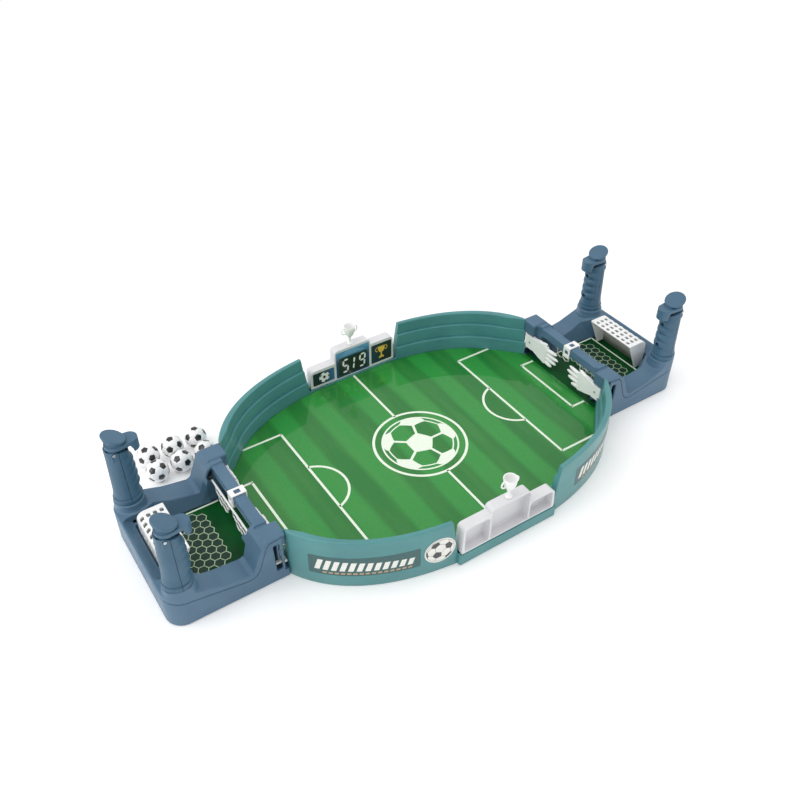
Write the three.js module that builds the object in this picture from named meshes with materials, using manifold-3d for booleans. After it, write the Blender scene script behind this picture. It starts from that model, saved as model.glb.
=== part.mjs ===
// Tabletop finger football: an oval walled pitch with a goal unit, two hand grips and two flipper
// hands at each end.  Millimetres, +Z up, +X towards the right-hand goal, ground at z = 0.
import * as THREE from "three";
import { mergeVertices } from "three/addons/utils/BufferGeometryUtils.js";
import Module from "manifold-3d";

const wasm = await Module();
wasm.setup();

// ---------- driving dimensions ----------
const GAP = 0.3; // clearance between neighbouring pieces
const WALL = 2.5; // moulded wall thickness
const PITCH_Z = 10; // playing surface above the ground
const SHEET = 0.7; // printed pitch sheet
const RIM_Z = 54; // top of the oval wall
const OVAL_POWER = 2.5; // superellipse exponent of the oval
const OVAL_OUTER = { a: 194, b: 138 };
const OVAL_INNER = { a: 182, b: 129 };
const TERRACE = 2.3; // each of the three wall bands steps outwards by this
const BAND_Z = [25, 40]; // heights where the bands change
const OVAL_END = 180.5; // the oval is cut off flat here and meets the goal unit
const MOUTH_Y = 56; // half width of the oval's opening at its end
const FUNNEL = { x: 152, y: 86 }; // where the straight funnel wall starts

const STAND = { half: 52, front: 128, back: 139, foot: 12.3, low: 35, mid: 43, high: 50, centre: 22 };
const CUP = { foot: 50.3, height: 22.5, y: 133, bowl: 6.3 };

const END_X0 = 181.2; // goal unit, from the oval to the outer end
const END_X1 = 288;
const END_Y = 67.5;
const END_CORNER = 16;
const CAP_Z = 52; // top of the post caps
const BAR = { x0: 188, x1: 199, z0: 40, z1: 50, half: 44 };
const PIT_Y = 40; // half width of the goal pit at its floor
const PIT_X1 = 277;
const SHELF_Z = 25.8; // foot of the dished shelf that rises outwards behind the goal

const GRIP = { x: 272, y: 55.5, z0: 42.3, z1: 98, bore: 7.4 };
const PIN = { x: 276, z: 99, r: 1.4 };
const ROD_X = 267.6; // push rod, 8.4 mm inboard of the lever pin
const CRANK = { x: 261.6, z: 7.5, arm: 6, lift: 9 };
const WRIST = { x: 184, y: 57, crank: 5 };
const LINK_Y = WRIST.y + WRIST.crank;
const LINK_Z = 16.5;
const LEVER_TILT = 20; // slope of the grip's top under the lever, degrees
const PAD = { x: 271, z: 112.3, r: 10.6, thick: 3, tilt: 24 }; // centre of the thumb pad's top face

const GOAL = { front: 250, foot: 265, back: 276, half: 30, top: 44 };
const GOAL_CELL = 7.6; // spacing of the goal's holes and slots
const FLAP_ROD = { x: 201.6, z: 36.6, half: 38.2 };
const BALL_R = 11;
const BALL_GRID = { x: -232, y: 104, step: 24.5 };

// ---------- colours ----------
const plastic = (color, roughness) => new THREE.MeshStandardMaterial({ color, roughness, metalness: 0 });
const steel = () => new THREE.MeshStandardMaterial({ color: 0xb8bcc0, roughness: 0.3, metalness: 1 });
const TEAL = 0x4e8a8c;
const BLUE = 0x5a7591;
const WHITE = 0xf0eeea;
const GREEN = 0x2f8a42;

// ---------- solids ----------
// A three.js geometry, placed by a matrix, as a solid.
function solid(geometry, matrix = new THREE.Matrix4()) {
  const bare = new THREE.BufferGeometry();
  const source = geometry.index ? geometry.toNonIndexed() : geometry;
  bare.setAttribute("position", source.getAttribute("position").clone());
  bare.applyMatrix4(matrix);
  const merged = mergeVertices(bare, 1e-4);
  const triVerts = new Uint32Array(merged.index.array);
  const vertProperties = merged.getAttribute("position").array;
  return new wasm.Manifold(new wasm.Mesh({ numProp: 3, vertProperties, triVerts }));
}

const at = (x, y, z) => new THREE.Matrix4().makeTranslation(x, y, z);
const join = (...pieces) => pieces.flat().reduce((sum, piece) => sum.add(piece));
const cut = (body, ...tools) => tools.flat().reduce((rest, tool) => rest.subtract(tool), body);

function box(x0, x1, y0, y1, z0, z1) {
  const shape = new THREE.BoxGeometry(x1 - x0, y1 - y0, z1 - z0);
  return solid(shape, at((x0 + x1) / 2, (y0 + y1) / 2, (z0 + z1) / 2));
}

// Two boxes, one on each side of the plane y = 0.
function boxPair(x0, x1, y0, y1, z0, z1) {
  return join(box(x0, x1, y0, y1, z0, z1), box(x0, x1, -y1, -y0, z0, z1));
}

const outline = (points) => new THREE.Shape(points.map(([u, v]) => new THREE.Vector2(u, v)));

// An outline in X and Y raised from z0 to z1.
function raise(shape, z0, z1) {
  const options = { depth: z1 - z0, bevelEnabled: false, curveSegments: 5 };
  return solid(new THREE.ExtrudeGeometry(shape, options), at(0, 0, z0));
}

// An outline in X and Z drawn out from y0 to y1.
function draw(points, y0, y1) {
  const options = { depth: y1 - y0, bevelEnabled: false, curveSegments: 5 };
  const upright = new THREE.Matrix4().makeRotationX(Math.PI / 2).setPosition(0, y1, 0);
  const shape = Array.isArray(points) ? outline(points) : points;
  return solid(new THREE.ExtrudeGeometry(shape, options), upright);
}

// A rod along x, y or z, centred on a point.
function rod(axis, radius, length, x, y, z, sides = 14) {
  const matrix = at(x, y, z);
  if (axis === "x") matrix.multiply(new THREE.Matrix4().makeRotationZ(Math.PI / 2));
  if (axis === "z") matrix.multiply(new THREE.Matrix4().makeRotationX(Math.PI / 2));
  return solid(new THREE.CylinderGeometry(radius, radius, length, sides), matrix);
}

// A closed skin through horizontal rings of points, lowest ring first.
function loft(rings) {
  const count = rings[0].length;
  const corners = rings.flat();
  const faces = [];
  for (let r = 0; r + 1 < rings.length; r++) {
    for (let i = 0; i < count; i++) {
      const a = r * count + i;
      const b = r * count + ((i + 1) % count);
      faces.push(a, b, b + count, a, b + count, a + count);
    }
  }
  const flat = rings[0].map((p) => new THREE.Vector2(p.x, p.y));
  const lid = THREE.ShapeUtils.triangulateShape(flat, []);
  const last = (rings.length - 1) * count;
  for (const [a, b, c] of lid) {
    faces.push(a, c, b);
    faces.push(last + a, last + b, last + c);
  }
  const geometry = new THREE.BufferGeometry().setFromPoints(corners);
  geometry.setIndex(faces);
  return solid(geometry);
}

function part(name, body, material, parent) {
  const mesh = body.getMesh();
  const positions = new Float32Array(mesh.numVert * 3);
  for (let i = 0; i < mesh.numVert; i++) {
    const start = i * mesh.numProp;
    positions.set(mesh.vertProperties.subarray(start, start + 3), 3 * i);
  }
  const geometry = new THREE.BufferGeometry();
  geometry.setAttribute("position", new THREE.BufferAttribute(positions, 3));
  geometry.setIndex(new THREE.BufferAttribute(new Uint32Array(mesh.triVerts), 1));
  geometry.computeVertexNormals();
  const piece = new THREE.Mesh(geometry, material);
  piece.name = name;
  parent.add(piece);
}

// ---------- the oval ----------
function ovalPoints(oval, grow = 0, steps = 72) {
  const points = [];
  for (let i = 0; i < steps; i++) {
    const t = (2 * Math.PI * i) / steps;
    const c = Math.cos(t);
    const s = Math.sin(t);
    const x = Math.sign(c) * Math.abs(c) ** (2 / OVAL_POWER) * (oval.a + grow);
    const y = Math.sign(s) * Math.abs(s) ** (2 / OVAL_POWER) * (oval.b + grow);
    points.push([x, y]);
  }
  return points;
}

// The playing area at one height: the oval and the two straight-sided funnels at its ends.
function playArea(grow, z0, z1, endX) {
  const side = MOUTH_Y + grow;
  const start = FUNNEL.y + grow;
  const funnels = [
    [-endX, -side],
    [-FUNNEL.x, -start],
    [FUNNEL.x, -start],
    [endX, -side],
    [endX, side],
    [FUNNEL.x, start],
    [-FUNNEL.x, start],
    [-endX, side],
  ];
  const oval = raise(outline(ovalPoints(OVAL_INNER, grow)), z0, z1);
  return oval
    .add(raise(outline(funnels), z0, z1))
    .intersect(box(-endX, endX, -200, 200, z0 - 1, z1 + 1));
}

function tableBody() {
  const ends = box(-OVAL_END, OVAL_END, -200, 200, -1, RIM_Z + 1);
  const block = raise(outline(ovalPoints(OVAL_OUTER)), 0, RIM_Z).intersect(ends);
  const ledges = boxPair(-54.6, 54.6, OVAL_INNER.b, 140, 0, STAND.foot - GAP);
  const under = raise(outline(ovalPoints(OVAL_OUTER, -3)), -1, 6.5);
  const below = under.intersect(box(-OVAL_END + 3, OVAL_END - 3, -200, 200, -2, 6.5));
  const bands = [
    playArea(0, PITCH_Z - SHEET, BAND_Z[0], OVAL_END + 1),
    playArea(TERRACE, BAND_Z[0] - 0.1, BAND_Z[1], OVAL_END + 1),
    playArea(2 * TERRACE, BAND_Z[1] - 0.1, RIM_Z + 1, OVAL_END + 1),
  ];
  const notch = [
    [-54, STAND.foot - GAP],
    [54, STAND.foot - GAP],
    [60, RIM_Z + 1],
    [-60, RIM_Z + 1],
  ];
  const notches = join(draw(notch, 100, 150), draw(notch, -150, -100));
  return cut(join(cut(block, bands, notches), ledges), below);
}

const pitchSheet = () => playArea(-0.4, PITCH_Z - SHEET + 0.05, PITCH_Z, OVAL_END - GAP);

// ---------- score stands and cups ----------
// A three-step podium, open at the back, low step towards -X.
function stand() {
  const { half, centre, foot, low, mid, high, front, back } = STAND;
  const steps = outline([
    [-half, foot],
    [half, foot],
    [half - 1.5, mid - 3],
    [half - 4.5, mid],
    [centre, mid],
    [centre, high - 4],
    [centre - 4, high],
    [-centre + 4, high],
    [-centre, high - 4],
    [-centre, low],
    [-half + 4.5, low],
    [-half + 1.5, low - 3],
  ]);
  const room = (x0, x1, top) => box(x0, x1, front + 2, back + 1, foot + 1.8, top - 1.8);
  const rooms = [room(-half + 3, -centre - 1, low), room(-centre + 1, centre - 1, high)];
  return cut(draw(steps, front, back), rooms, room(centre + 1, half - 3, mid));
}

function cup() {
  const { bowl, height, foot, y } = CUP;
  const profile = [
    [0, 0],
    [3.4, 0],
    [3.4, 1.4],
    [1.8, 2.6],
    [1.5, 6.6],
    [2.2, 8.8],
    [bowl * 0.84, 12.6],
    [bowl, 17],
    [bowl, height],
    [bowl - 1.2, height],
    [bowl - 1.4, 17],
    [0, 11.6],
  ];
  const lathe = new THREE.LatheGeometry(profile.map(([r, z]) => new THREE.Vector2(r, z)), 14);
  const upright = at(0, y, foot).multiply(new THREE.Matrix4().makeRotationX(Math.PI / 2));
  const ear = (side) => {
    const ring = new THREE.TorusGeometry(2.9, 0.8, 5, 10);
    const turn = new THREE.Matrix4().makeRotationX(Math.PI / 2);
    return solid(ring, at(side * (bowl + 1.2), y, foot + 16.5).multiply(turn));
  };
  const inside = rod("z", bowl - 1.2, 10, 0, y, foot + 19.5, 14);
  return join(solid(lathe, upright), cut(join(ear(1), ear(-1)), inside));
}

// ---------- goal unit ----------
function endOutline(inset) {
  const x0 = END_X0 + inset;
  const x1 = END_X1 - inset;
  const y = END_Y - inset;
  const r = END_CORNER - inset;
  const shape = new THREE.Shape();
  shape.moveTo(x0, -y);
  shape.lineTo(x1 - r, -y);
  shape.absarc(x1 - r, -y + r, r, -Math.PI / 2, 0, false);
  shape.lineTo(x1, y - r);
  shape.absarc(x1 - r, y - r, r, 0, Math.PI / 2, false);
  shape.lineTo(x0, y);
  return shape;
}

// Side view of the parting line between base and cover, raised by a gap.
const seam = (gap) => [
  [END_X0 - 1, 50 + gap],
  [198, 48 + gap],
  [209, 20 + gap],
  [217, 16 + gap],
  [260, 24 + gap],
  [END_X1 + 1, 29 + gap],
];

// Side view of the cover's top, lowered by a wall.
const coverTop = (drop) => [
  [END_X1 + 1, 34 - drop],
  [264, 34 - drop],
  [240, 26 - drop],
  [217, 22 - drop],
  [213 - drop * 0.4, 24 - drop],
  [204 - drop * 0.6, 47 - drop],
  [199 - drop * 0.6, CAP_Z - drop],
  [END_X0 - 1, CAP_Z - drop],
];

function endBase() {
  const side = [[END_X0 - 1, 0], ...seam(0), [END_X1 + 1, 0]].reverse();
  const block = raise(endOutline(0), 0, 60).intersect(draw(side, -80, 80));
  const room = raise(endOutline(WALL), 2.2, 60);
  const fieldWall = boxPair(END_X0 - 1, END_X0 + WALL + 1, 0, 80, 9, 60);
  const deck = cut(box(184, PIT_X1 + 2, -42, 42, 0, 9), box(188, PIT_X1 - 2, -39, 39, -1, 7));
  const lugs = [boxPair(258.6, 264.6, 50.4, 52.4, 2, 11), boxPair(258.6, 264.6, 62, 64, 2, 11)];
  const guides = [205, 236].map((x) => boxPair(x - 2, x + 2, 58.6, 65.2, 2, 18.4));
  const slot = boxPair(200, 245, LINK_Y - 1.8, LINK_Y + 1.8, LINK_Z - 1.9, 20);
  const bearing = boxPair(CRANK.x - 2.1, CRANK.x + 2.1, 50, 64.5, CRANK.z - 2.1, 12);
  const window = boxPair(187, 193, 60, 70, 12, 44);
  const under = box(188, PIT_X1 - 2, -39, 39, -1, 7);
  return cut(join(cut(block, room, fieldWall), deck, lugs, guides), slot, bearing, window, under);
}

// The goal pit, wider at its rim than at its floor; grow makes the wall round it.
function pit(grow, z0, z1) {
  const side = (y1, y2, y3, x2) => [
    [END_X0 - 3 - grow, 41 + grow],
    [200, 39 + grow],
    [x2, y1 + grow],
    [252, y2 + grow],
    [264, y3 + grow],
    [PIT_X1 + grow, 35 + grow],
  ];
  const ring = (half, z) => {
    const back = half.map(([x, y]) => new THREE.Vector3(x, y, z));
    const front = half.map(([x, y]) => new THREE.Vector3(x, -y, z));
    return [...front, ...back.reverse()];
  };
  return loft([ring(side(PIT_Y, PIT_Y, 38, 216), z0), ring(side(50, 50, 41, 220), z1)]);
}

// Side view of the room above the shelf, lowered by a wall.
const shelfRoom = (drop) => [
  [266, SHELF_Z - drop],
  [277, SHELF_Z - drop],
  [280 + drop * 0.4, SHELF_Z + 1.2 - drop],
  [286.4 + drop * 0.4, 34 - drop],
  [292, 34 - drop],
  [292, 60],
  [266, 60],
];

function endCover() {
  const side = [...seam(GAP), ...coverTop(0)];
  const hollowSide = [[END_X1 + 1, -1], ...coverTop(WALL), [END_X0 - 1, -1]];
  const blockSide = [[END_X1 + 1, 9.5], ...coverTop(0), [END_X0 - 1, 9.5]];
  const lid = raise(endOutline(0), 0, 60).intersect(draw(side, -80, 80));
  const shelfFloor = draw(shelfRoom(WALL), -42, 42);
  const hollow = cut(raise(endOutline(WALL), -1, 60).intersect(draw(hollowSide, -80, 80)), shelfFloor);
  const apron = shelfFloor.intersect(box(PIT_X1, END_X1 - WALL - GAP, -41.5, 41.5, 0, 33));
  const pitBlock = pit(WALL, 9.5, 34.5).intersect(draw(blockSide, -80, 80));
  const walls = pitBlock.intersect(box(187.4, 300, -80, 80, 9.5, 60));
  const posts = boxPair(187.4, 189.6, 38, 64.6, 22, CAP_Z - 1);
  const feet = boxPair(187.4, 199, 38, 45, 9.5, 49);
  const caps = boxPair(END_X0, 189, 47.5, 64.6, 37.8, CAP_Z);
  const bar = box(BAR.x0, BAR.x1, -BAR.half, BAR.half, BAR.z0, BAR.z1);
  const socketRods = [1, -1].map((s) => rod("z", 13.6, 20, GRIP.x, s * GRIP.y, GRIP.z0 - GAP - 10, 20));
  const aboveSeam = [...seam(GAP), [END_X1 + 1, 60], [END_X0 - 1, 60]];
  const sockets = join(socketRods).intersect(draw(aboveSeam, -80, 80));
  const bores = [1, -1].map((s) => rod("z", 7.6, 30, GRIP.x - 1.5, s * GRIP.y, 35, 16));
  const shelf = draw(shelfRoom(0), -39.5, 39.5).intersect(box(260, END_X1 - 1.6, -50, 50, 0, 70));
  const mouth = box(END_X0 - 5, 203, -41, 41, 9, BAR.z0);
  const over = box(END_X0 - 5, 203, -BAR.half + 3, BAR.half - 3, BAR.z1, 60);
  const ahead = box(END_X0 - 5, BAR.x0, -47.5, 47.5, 0, 60);
  const behind = box(BAR.x1, 206, -41, 41, 9, 60);
  const body = join(cut(lid, hollow), apron, walls, posts, feet, caps, sockets);
  const field = box(198, 262, -36, 36, 9, 60);
  const opened = cut(body, pit(0, 9, 34.5), field, bores, shelf, mouth, over, ahead, behind);
  return join(opened, bar);
}

function goalFloor() {
  const outer = box(END_X0 + GAP, PIT_X1 - 1, -60, 60, 9, PITCH_Z);
  const wings = boxPair(END_X0 + GAP, 187.1, 38, MOUTH_Y - 0.6, PITCH_Z - SHEET + 0.05, PITCH_Z);
  return join(pit(-0.5, PITCH_Z - SHEET + 0.05, 30).intersect(outer), wings);
}

// The goal frame: roof, sloping posts and slotted back, open to the pitch.
function goal() {
  const { front, foot, back, half, top } = GOAL;
  const z0 = PITCH_Z + GAP;
  const outside = [
    [foot, z0],
    [back, z0],
    [back - 1, top - 8],
    [back - 6, top],
    [front, top],
  ];
  const inside = [
    [foot - 8, z0 - 1],
    [back - 1.8, z0 - 1],
    [back - 2.8, top - 8.6],
    [back - 7, top - 1.8],
    [front - 3, top - 1.8],
  ];
  const holes = [];
  for (let row = 0; row < 4; row++) {
    const depth = row < 3 ? 3 : 9;
    for (let i = -3; i <= 3; i++) {
      const x = front + 2.6 + 5.9 * row;
      const y = i * GOAL_CELL;
      holes.push(box(x, x + 3.4, y - 2.1, y + 2.1, top - depth, top + 1));
    }
  }
  const columns = [-3, -2, -1, 0, 1, 2, 3].map((i) => i * GOAL_CELL);
  const slots = columns.map((y) => box(back - 4, back + 1, y - 1.3, y + 1.3, 26.5, 35));
  const shell = cut(draw(outside, -half, half), draw(inside, -half + 1.8, half - 1.8));
  return cut(shell, holes, slots);
}

function scoreSlider() {
  const ring = box(BAR.x0 - 1.9, BAR.x1 + 1.9, -4.6, 4.6, BAR.z0 - 1.7, BAR.z1 + 1.7);
  const bore = box(BAR.x0 - GAP, BAR.x1 + GAP, -8, 8, BAR.z0 - GAP, BAR.z1 + GAP);
  return cut(ring, bore, box(190.8, 196.2, -2.4, 2.4, BAR.z1, 60), box(190, 197, -8, 8, 30, BAR.z0));
}

// A swinging net: a rod with a few honeycomb cells hanging from it.
function netFlap() {
  const { x, z, half } = FLAP_ROD;
  const cell = 5.2;
  const stepY = cell * Math.sqrt(3);
  const cells = [-3, -2, -1, 1, 2, 3].map((i) => [i * stepY, z - cell]);
  cells.push(...[-2.5, -1.5, 1.5, 2.5].map((i) => [i * stepY, z - 2.5 * cell]));
  const sideways = new THREE.Matrix4().makeRotationZ(Math.PI / 2);
  const hexagons = (radius, thickness) =>
    cells.map(([cy, cz]) => {
      const prism = new THREE.CylinderGeometry(radius, radius, thickness, 6);
      return solid(prism, at(x, cy, cz).multiply(sideways));
    });
  const plate = join(hexagons(cell + 0.55, 1.1));
  return join(rod("y", 0.9, 2 * half, x, 0, z, 8), cut(plate, hexagons(cell - 0.5, 3)));
}

// ---------- one hand station, built for the +X, +Y corner ----------
// The grip's skin: a waisted handle with a ringed collar and four finger swells facing the pitch.
function gripSkin() {
  const levels = [
    [0, 12.9],
    [4.2, 12.9],
    [4.5, 11.3],
    [5.3, 11.3],
    [5.7, 12.1],
    [9, 11.6],
    [13.5, 11.1],
    [17.75, 10.8],
    [22, 10.7],
    [26.25, 10.6],
    [30.5, 10.5],
    [34.75, 10.4],
    [39, 10.3],
    [43.25, 10.2],
    [47.5, 10.1],
    [56.2, 10],
  ];
  const sides = 16;
  return loft(
    levels.map(([h, r]) => {
      const ring = [];
      const inSwells = h > 12 && h < 48;
      const swell = inSwells ? 2.2 * Math.abs(Math.sin(((h - 13.5) / 8.5) * Math.PI)) : 0;
      for (let i = 0; i < sides; i++) {
        const t = (2 * Math.PI * (i + 0.5)) / sides;
        const facing = Math.max(0, -Math.cos(t)) ** 2;
        const reach = r + swell * facing;
        const across = 0.94 * reach * Math.sin(t);
        ring.push(new THREE.Vector3(GRIP.x + reach * Math.cos(t), GRIP.y + across, GRIP.z0 + h));
      }
      return ring;
    }),
  );
}

function gripHalves() {
  const { x, y, z0, z1, bore } = GRIP;
  const drop = Math.tan(THREE.MathUtils.degToRad(LEVER_TILT));
  const slope = [
    [x + 2, z1],
    [x + 30, z1],
    [x + 30, z1 + 20],
    [x - 30, z1 + 20],
    [x - 30, z1 - 32 * drop],
  ];
  const lower = rod("z", bore, 31, x - 1.2, y, z0 - 1 + 15.5, 16);
  const upper = rod("z", bore, 18.5, x - 1.2, y, 84.2, 16);
  const rodHole = rod("z", 2.2, 60, ROD_X, y, 70, 12);
  const slot = box(x - 8.4, x + 8.2, y - 4.4, y + 4.4, 91, z1 + 5);
  const pinHole = rod("y", PIN.r + 0.15, 40, PIN.x, y, PIN.z, 12);
  const ear = (side) =>
    join(
      box(PIN.x - 2.3, PIN.x + 2.3, y + side * 6.8 - 1.8, y + side * 6.8 + 1.8, 92, PIN.z),
      rod("y", 2.3, 3.6, PIN.x, y + side * 6.8, PIN.z, 14),
    );
  const screws = [60, 85].map((z) => rod("x", 2, 12, x - 14, y, z, 12));
  const shell = cut(gripSkin(), draw(slope, y - 20, y + 20), lower, upper);
  const whole = cut(join(shell, ear(1), ear(-1)), rodHole, slot, pinHole);
  const palm = whole.intersect(box(x + GAP / 2, x + 30, 0, 100, 0, 200));
  const finger = cut(whole, screws).intersect(box(x - 30, x - GAP / 2, 0, 100, 0, 200));
  return { palm, finger };
}

// The thumb lever: a tilted round pad, its neck, and a hooded nose that rocks on the pin.
function thumbLever() {
  const { x, y, z1 } = GRIP;
  const tilt = THREE.MathUtils.degToRad(PAD.tilt);
  // A round disc square to the pad's tilted face, from one depth below that face to another.
  const tilted = (radius, near, far) => {
    const disc = new THREE.CylinderGeometry(radius, radius, far - near, 18);
    const upright = new THREE.Matrix4().makeRotationX(Math.PI / 2);
    const lean = new THREE.Matrix4().makeRotationY(-tilt);
    const sink = at(0, 0, -(near + far) / 2);
    return solid(disc, at(PAD.x, y, PAD.z).multiply(lean).multiply(sink).multiply(upright));
  };
  const hood = new THREE.Shape();
  hood.absarc(x - 12.8, y, 7.2, Math.PI / 2, (3 * Math.PI) / 2, false);
  hood.absarc(x, y, 8.6, -Math.PI / 2, Math.PI / 2, false);
  const neckCone = new THREE.CylinderGeometry(8.6, 7.4, 10, 18);
  const neckPlace = at(x - 0.6, y, z1 + 8.6).multiply(new THREE.Matrix4().makeRotationX(Math.PI / 2));
  const neck = cut(solid(neckCone, neckPlace), tilted(30, -20, 1));
  const padTop = join(tilted(PAD.r - 0.8, 0, 1), tilted(PAD.r, 0.6, PAD.thick), neck);
  const hoodTop = raise(hood, z1 + 3.6, z1 + 7.6);
  const nose = rod("z", 7, 5, x - 12.8, y, z1 + 2, 14);
  const relief = [
    [x - 13, z1 - 1],
    [x + 40, z1 - 1],
    [x + 40, z1 + 3.5],
    [x - 11, z1 + 3.5],
  ];
  const skirt = rod("z", 7.2, 8, x - 12.8, y, z1, 14).intersect(box(x - 30, x - 13.6, 0, 100, 0, 200));
  const noseOnly = join(cut(nose, draw(relief, y - 20, y + 20)), skirt);
  const tongue = box(ROD_X - 2.5, PIN.x + 3, y - 3.4, y + 3.4, 95.4, z1 + 4);
  const pinHole = rod("y", PIN.r + 0.1, 20, PIN.x, y, PIN.z, 12);
  return cut(join(padTop, hoodTop, noseOnly, tongue), pinHole);
}

function pushRod() {
  const top = 94.8;
  const bottom = CRANK.z + 2;
  const stem = rod("z", 1.5, top - bottom - 3, ROD_X, GRIP.y, (top + bottom + 3) / 2, 12);
  const tip = rod("z", 0.9, 4, ROD_X, GRIP.y, bottom + 2, 10);
  return join(stem, tip, rod("z", 3.2, 1.6, ROD_X, GRIP.y, 90, 14));
}

function returnSpring() {
  const turns = 5;
  const steps = 42;
  const z0 = 75.6;
  const z1 = 88.4;
  const points = [];
  for (let i = 0; i <= steps; i++) {
    const t = (2 * Math.PI * turns * i) / steps;
    points.push(new THREE.Vector3(2.6 * Math.cos(t), 2.6 * Math.sin(t), z0 + ((z1 - z0) * i) / steps));
  }
  const wire = outline([
    [0.45, 0],
    [0, 0.45],
    [-0.45, 0],
    [0, -0.45],
  ]);
  const path = new THREE.CatmullRomCurve3(points);
  const coil = new THREE.ExtrudeGeometry(wire, { steps, extrudePath: path, bevelEnabled: false });
  return solid(coil, at(ROD_X, GRIP.y, 0));
}

function bellCrank() {
  const { x, z, arm, lift } = CRANK;
  const spindle = rod("y", 1.7, 13.8, x, 57.2, z, 12);
  const pushArm = box(x, x + arm + 1.6, GRIP.y - 2, GRIP.y + 1.4, z - 1.1, z + 1.1);
  const liftArm = box(x - 1.3, x + 1.3, 57.4, 59.8, z, z + lift + 1.2);
  const peg = rod("y", 0.9, 5.2, x, 60.9, z + lift, 10);
  return join(spindle, pushArm, liftArm, peg);
}

function linkBar() {
  const inner = WRIST.x;
  const bar = box(inner - 2.4, CRANK.x + 3, LINK_Y - 1.2, LINK_Y + 1.2, LINK_Z - 1.3, LINK_Z + 1.3);
  const eye = box(CRANK.x - 3, CRANK.x + 3.4, LINK_Y - 1.2, LINK_Y + 1.2, LINK_Z - 3, LINK_Z + 2.6);
  const fork = box(inner - 2.4, inner + 2.4, LINK_Y - 3.3, LINK_Y + 2.6, LINK_Z - 1.3, LINK_Z + 1.3);
  const eyeHole = box(CRANK.x - 1.3, CRANK.x + 1.3, 50, 70, LINK_Z - 1.9, LINK_Z + 1.3);
  const forkHole = box(inner - 1.2, inner + 1.2, LINK_Y - 2.2, LINK_Y + 1.4, 0, 30);
  return cut(join(bar, eye, fork), eyeHole, forkHole);
}

// A flat glove on edge: wrist, palm, raised thumb and four fingers, on a barrel with its crank below.
function hand() {
  const { x, y, crank } = WRIST;
  const shape = new THREE.Shape();
  shape.moveTo(y, 20.4);
  shape.lineTo(y - 10, 20.4);
  shape.quadraticCurveTo(y - 22, 14.6, y - 31, 13.6);
  for (let i = 0; i < 4; i++) {
    const low = 13.6 + 5.9 * i;
    const tip = y - [43, 49, 51.5, 49][i];
    shape.lineTo(tip + 2, low);
    shape.quadraticCurveTo(tip - 1.4, low + 2.6, tip + 2, low + 5.2);
    if (i < 3) {
      shape.lineTo(y - 33, low + 5.3);
      shape.lineTo(y - 33, low + 5.9);
    }
  }
  shape.lineTo(y - 34, 36.6);
  shape.quadraticCurveTo(y - 31, 37.8, y - 33, 40.2);
  shape.quadraticCurveTo(y - 28, 42.6, y - 22, 40);
  shape.quadraticCurveTo(y - 16, 36.4, y, 36);
  const options = { depth: 3.4, bevelEnabled: false, curveSegments: 3 };
  const onEdge = new THREE.Matrix4().makeBasis(
    new THREE.Vector3(0, 1, 0),
    new THREE.Vector3(0, 0, 1),
    new THREE.Vector3(1, 0, 0),
  );
  const board = solid(new THREE.ExtrudeGeometry(shape, options), onEdge.setPosition(x - 1.7, 0, 0));
  const barrel = rod("z", 2.8, 17.2, x, y, 27.6, 16);
  const arm = box(x - 1.4, x + 1.4, y - 1, y + crank + 1.1, 18.4, 20.4);
  const peg = rod("z", 0.85, 4, x, y + crank, 17, 10);
  return join(board, barrel, arm, peg);
}

// ---------- assembly ----------
const table = new THREE.Group();
part("table_body", tableBody(), plastic(TEAL, 0.45), table);
part("pitch_sheet", pitchSheet(), plastic(GREEN, 0.2), table);

for (const [side, turn] of [
  ["rear", 0],
  ["front", Math.PI],
]) {
  const group = new THREE.Group();
  group.rotation.z = turn;
  table.add(group);
  part(side + "_stand", stand(), plastic(WHITE, 0.4), group);
  part(side + "_cup", cup(), plastic(WHITE, 0.3), group);
}

for (const [end, sx] of [
  ["left", -1],
  ["right", 1],
]) {
  const unit = new THREE.Group();
  unit.scale.x = sx;
  table.add(unit);
  part(end + "_base", endBase(), plastic(BLUE, 0.45), unit);
  part(end + "_cover", endCover(), plastic(BLUE, 0.45), unit);
  part(end + "_goal", goal(), plastic(WHITE, 0.4), unit);
  part(end + "_goal_floor", goalFloor(), plastic(GREEN, 0.2), unit);
  part(end + "_score_slider", scoreSlider(), plastic(WHITE, 0.35), unit);
  part(end + "_net_flap", netFlap(), plastic(WHITE, 0.4), unit);
  for (const [side, sy] of [
    ["front", -1],
    ["rear", 1],
  ]) {
    const station = new THREE.Group();
    station.scale.y = sy;
    unit.add(station);
    const name = end + "_" + side + "_";
    const { palm, finger } = gripHalves();
    part(name + "grip_palm", palm, plastic(BLUE, 0.45), station);
    part(name + "grip_finger", finger, plastic(BLUE, 0.45), station);
    part(name + "thumb_lever", thumbLever(), plastic(BLUE, 0.4), station);
    part(name + "lever_pin", rod("y", PIN.r, 19, PIN.x, GRIP.y, PIN.z, 12), steel(), station);
    part(name + "push_rod", pushRod(), plastic(WHITE, 0.5), station);
    part(name + "return_spring", returnSpring(), steel(), station);
    part(name + "bell_crank", bellCrank(), plastic(WHITE, 0.5), station);
    part(name + "link_bar", linkBar(), plastic(WHITE, 0.5), station);
    part(name + "hand", hand(), plastic(WHITE, 0.4), station);
  }
}

for (let i = 0; i < 6; i++) {
  const x = BALL_GRID.x + BALL_GRID.step * (i % 3);
  const y = BALL_GRID.y + BALL_GRID.step * Math.floor(i / 3);
  const ball = new THREE.Mesh(new THREE.SphereGeometry(BALL_R, 13, 9), plastic(WHITE, 0.25));
  ball.name = "ball_" + (i + 1);
  ball.rotation.x = Math.PI / 2;
  ball.position.set(x, y, BALL_R);
  table.add(ball);
}

export default table;
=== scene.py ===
"""Looks of the tabletop finger football game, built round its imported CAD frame.

Shapes are drawn in millimetres in the frame's own axes (+X to the right goal, +Y to the rear, +Z up)
and scaled to metres when they become pieces.
"""
import math

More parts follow.
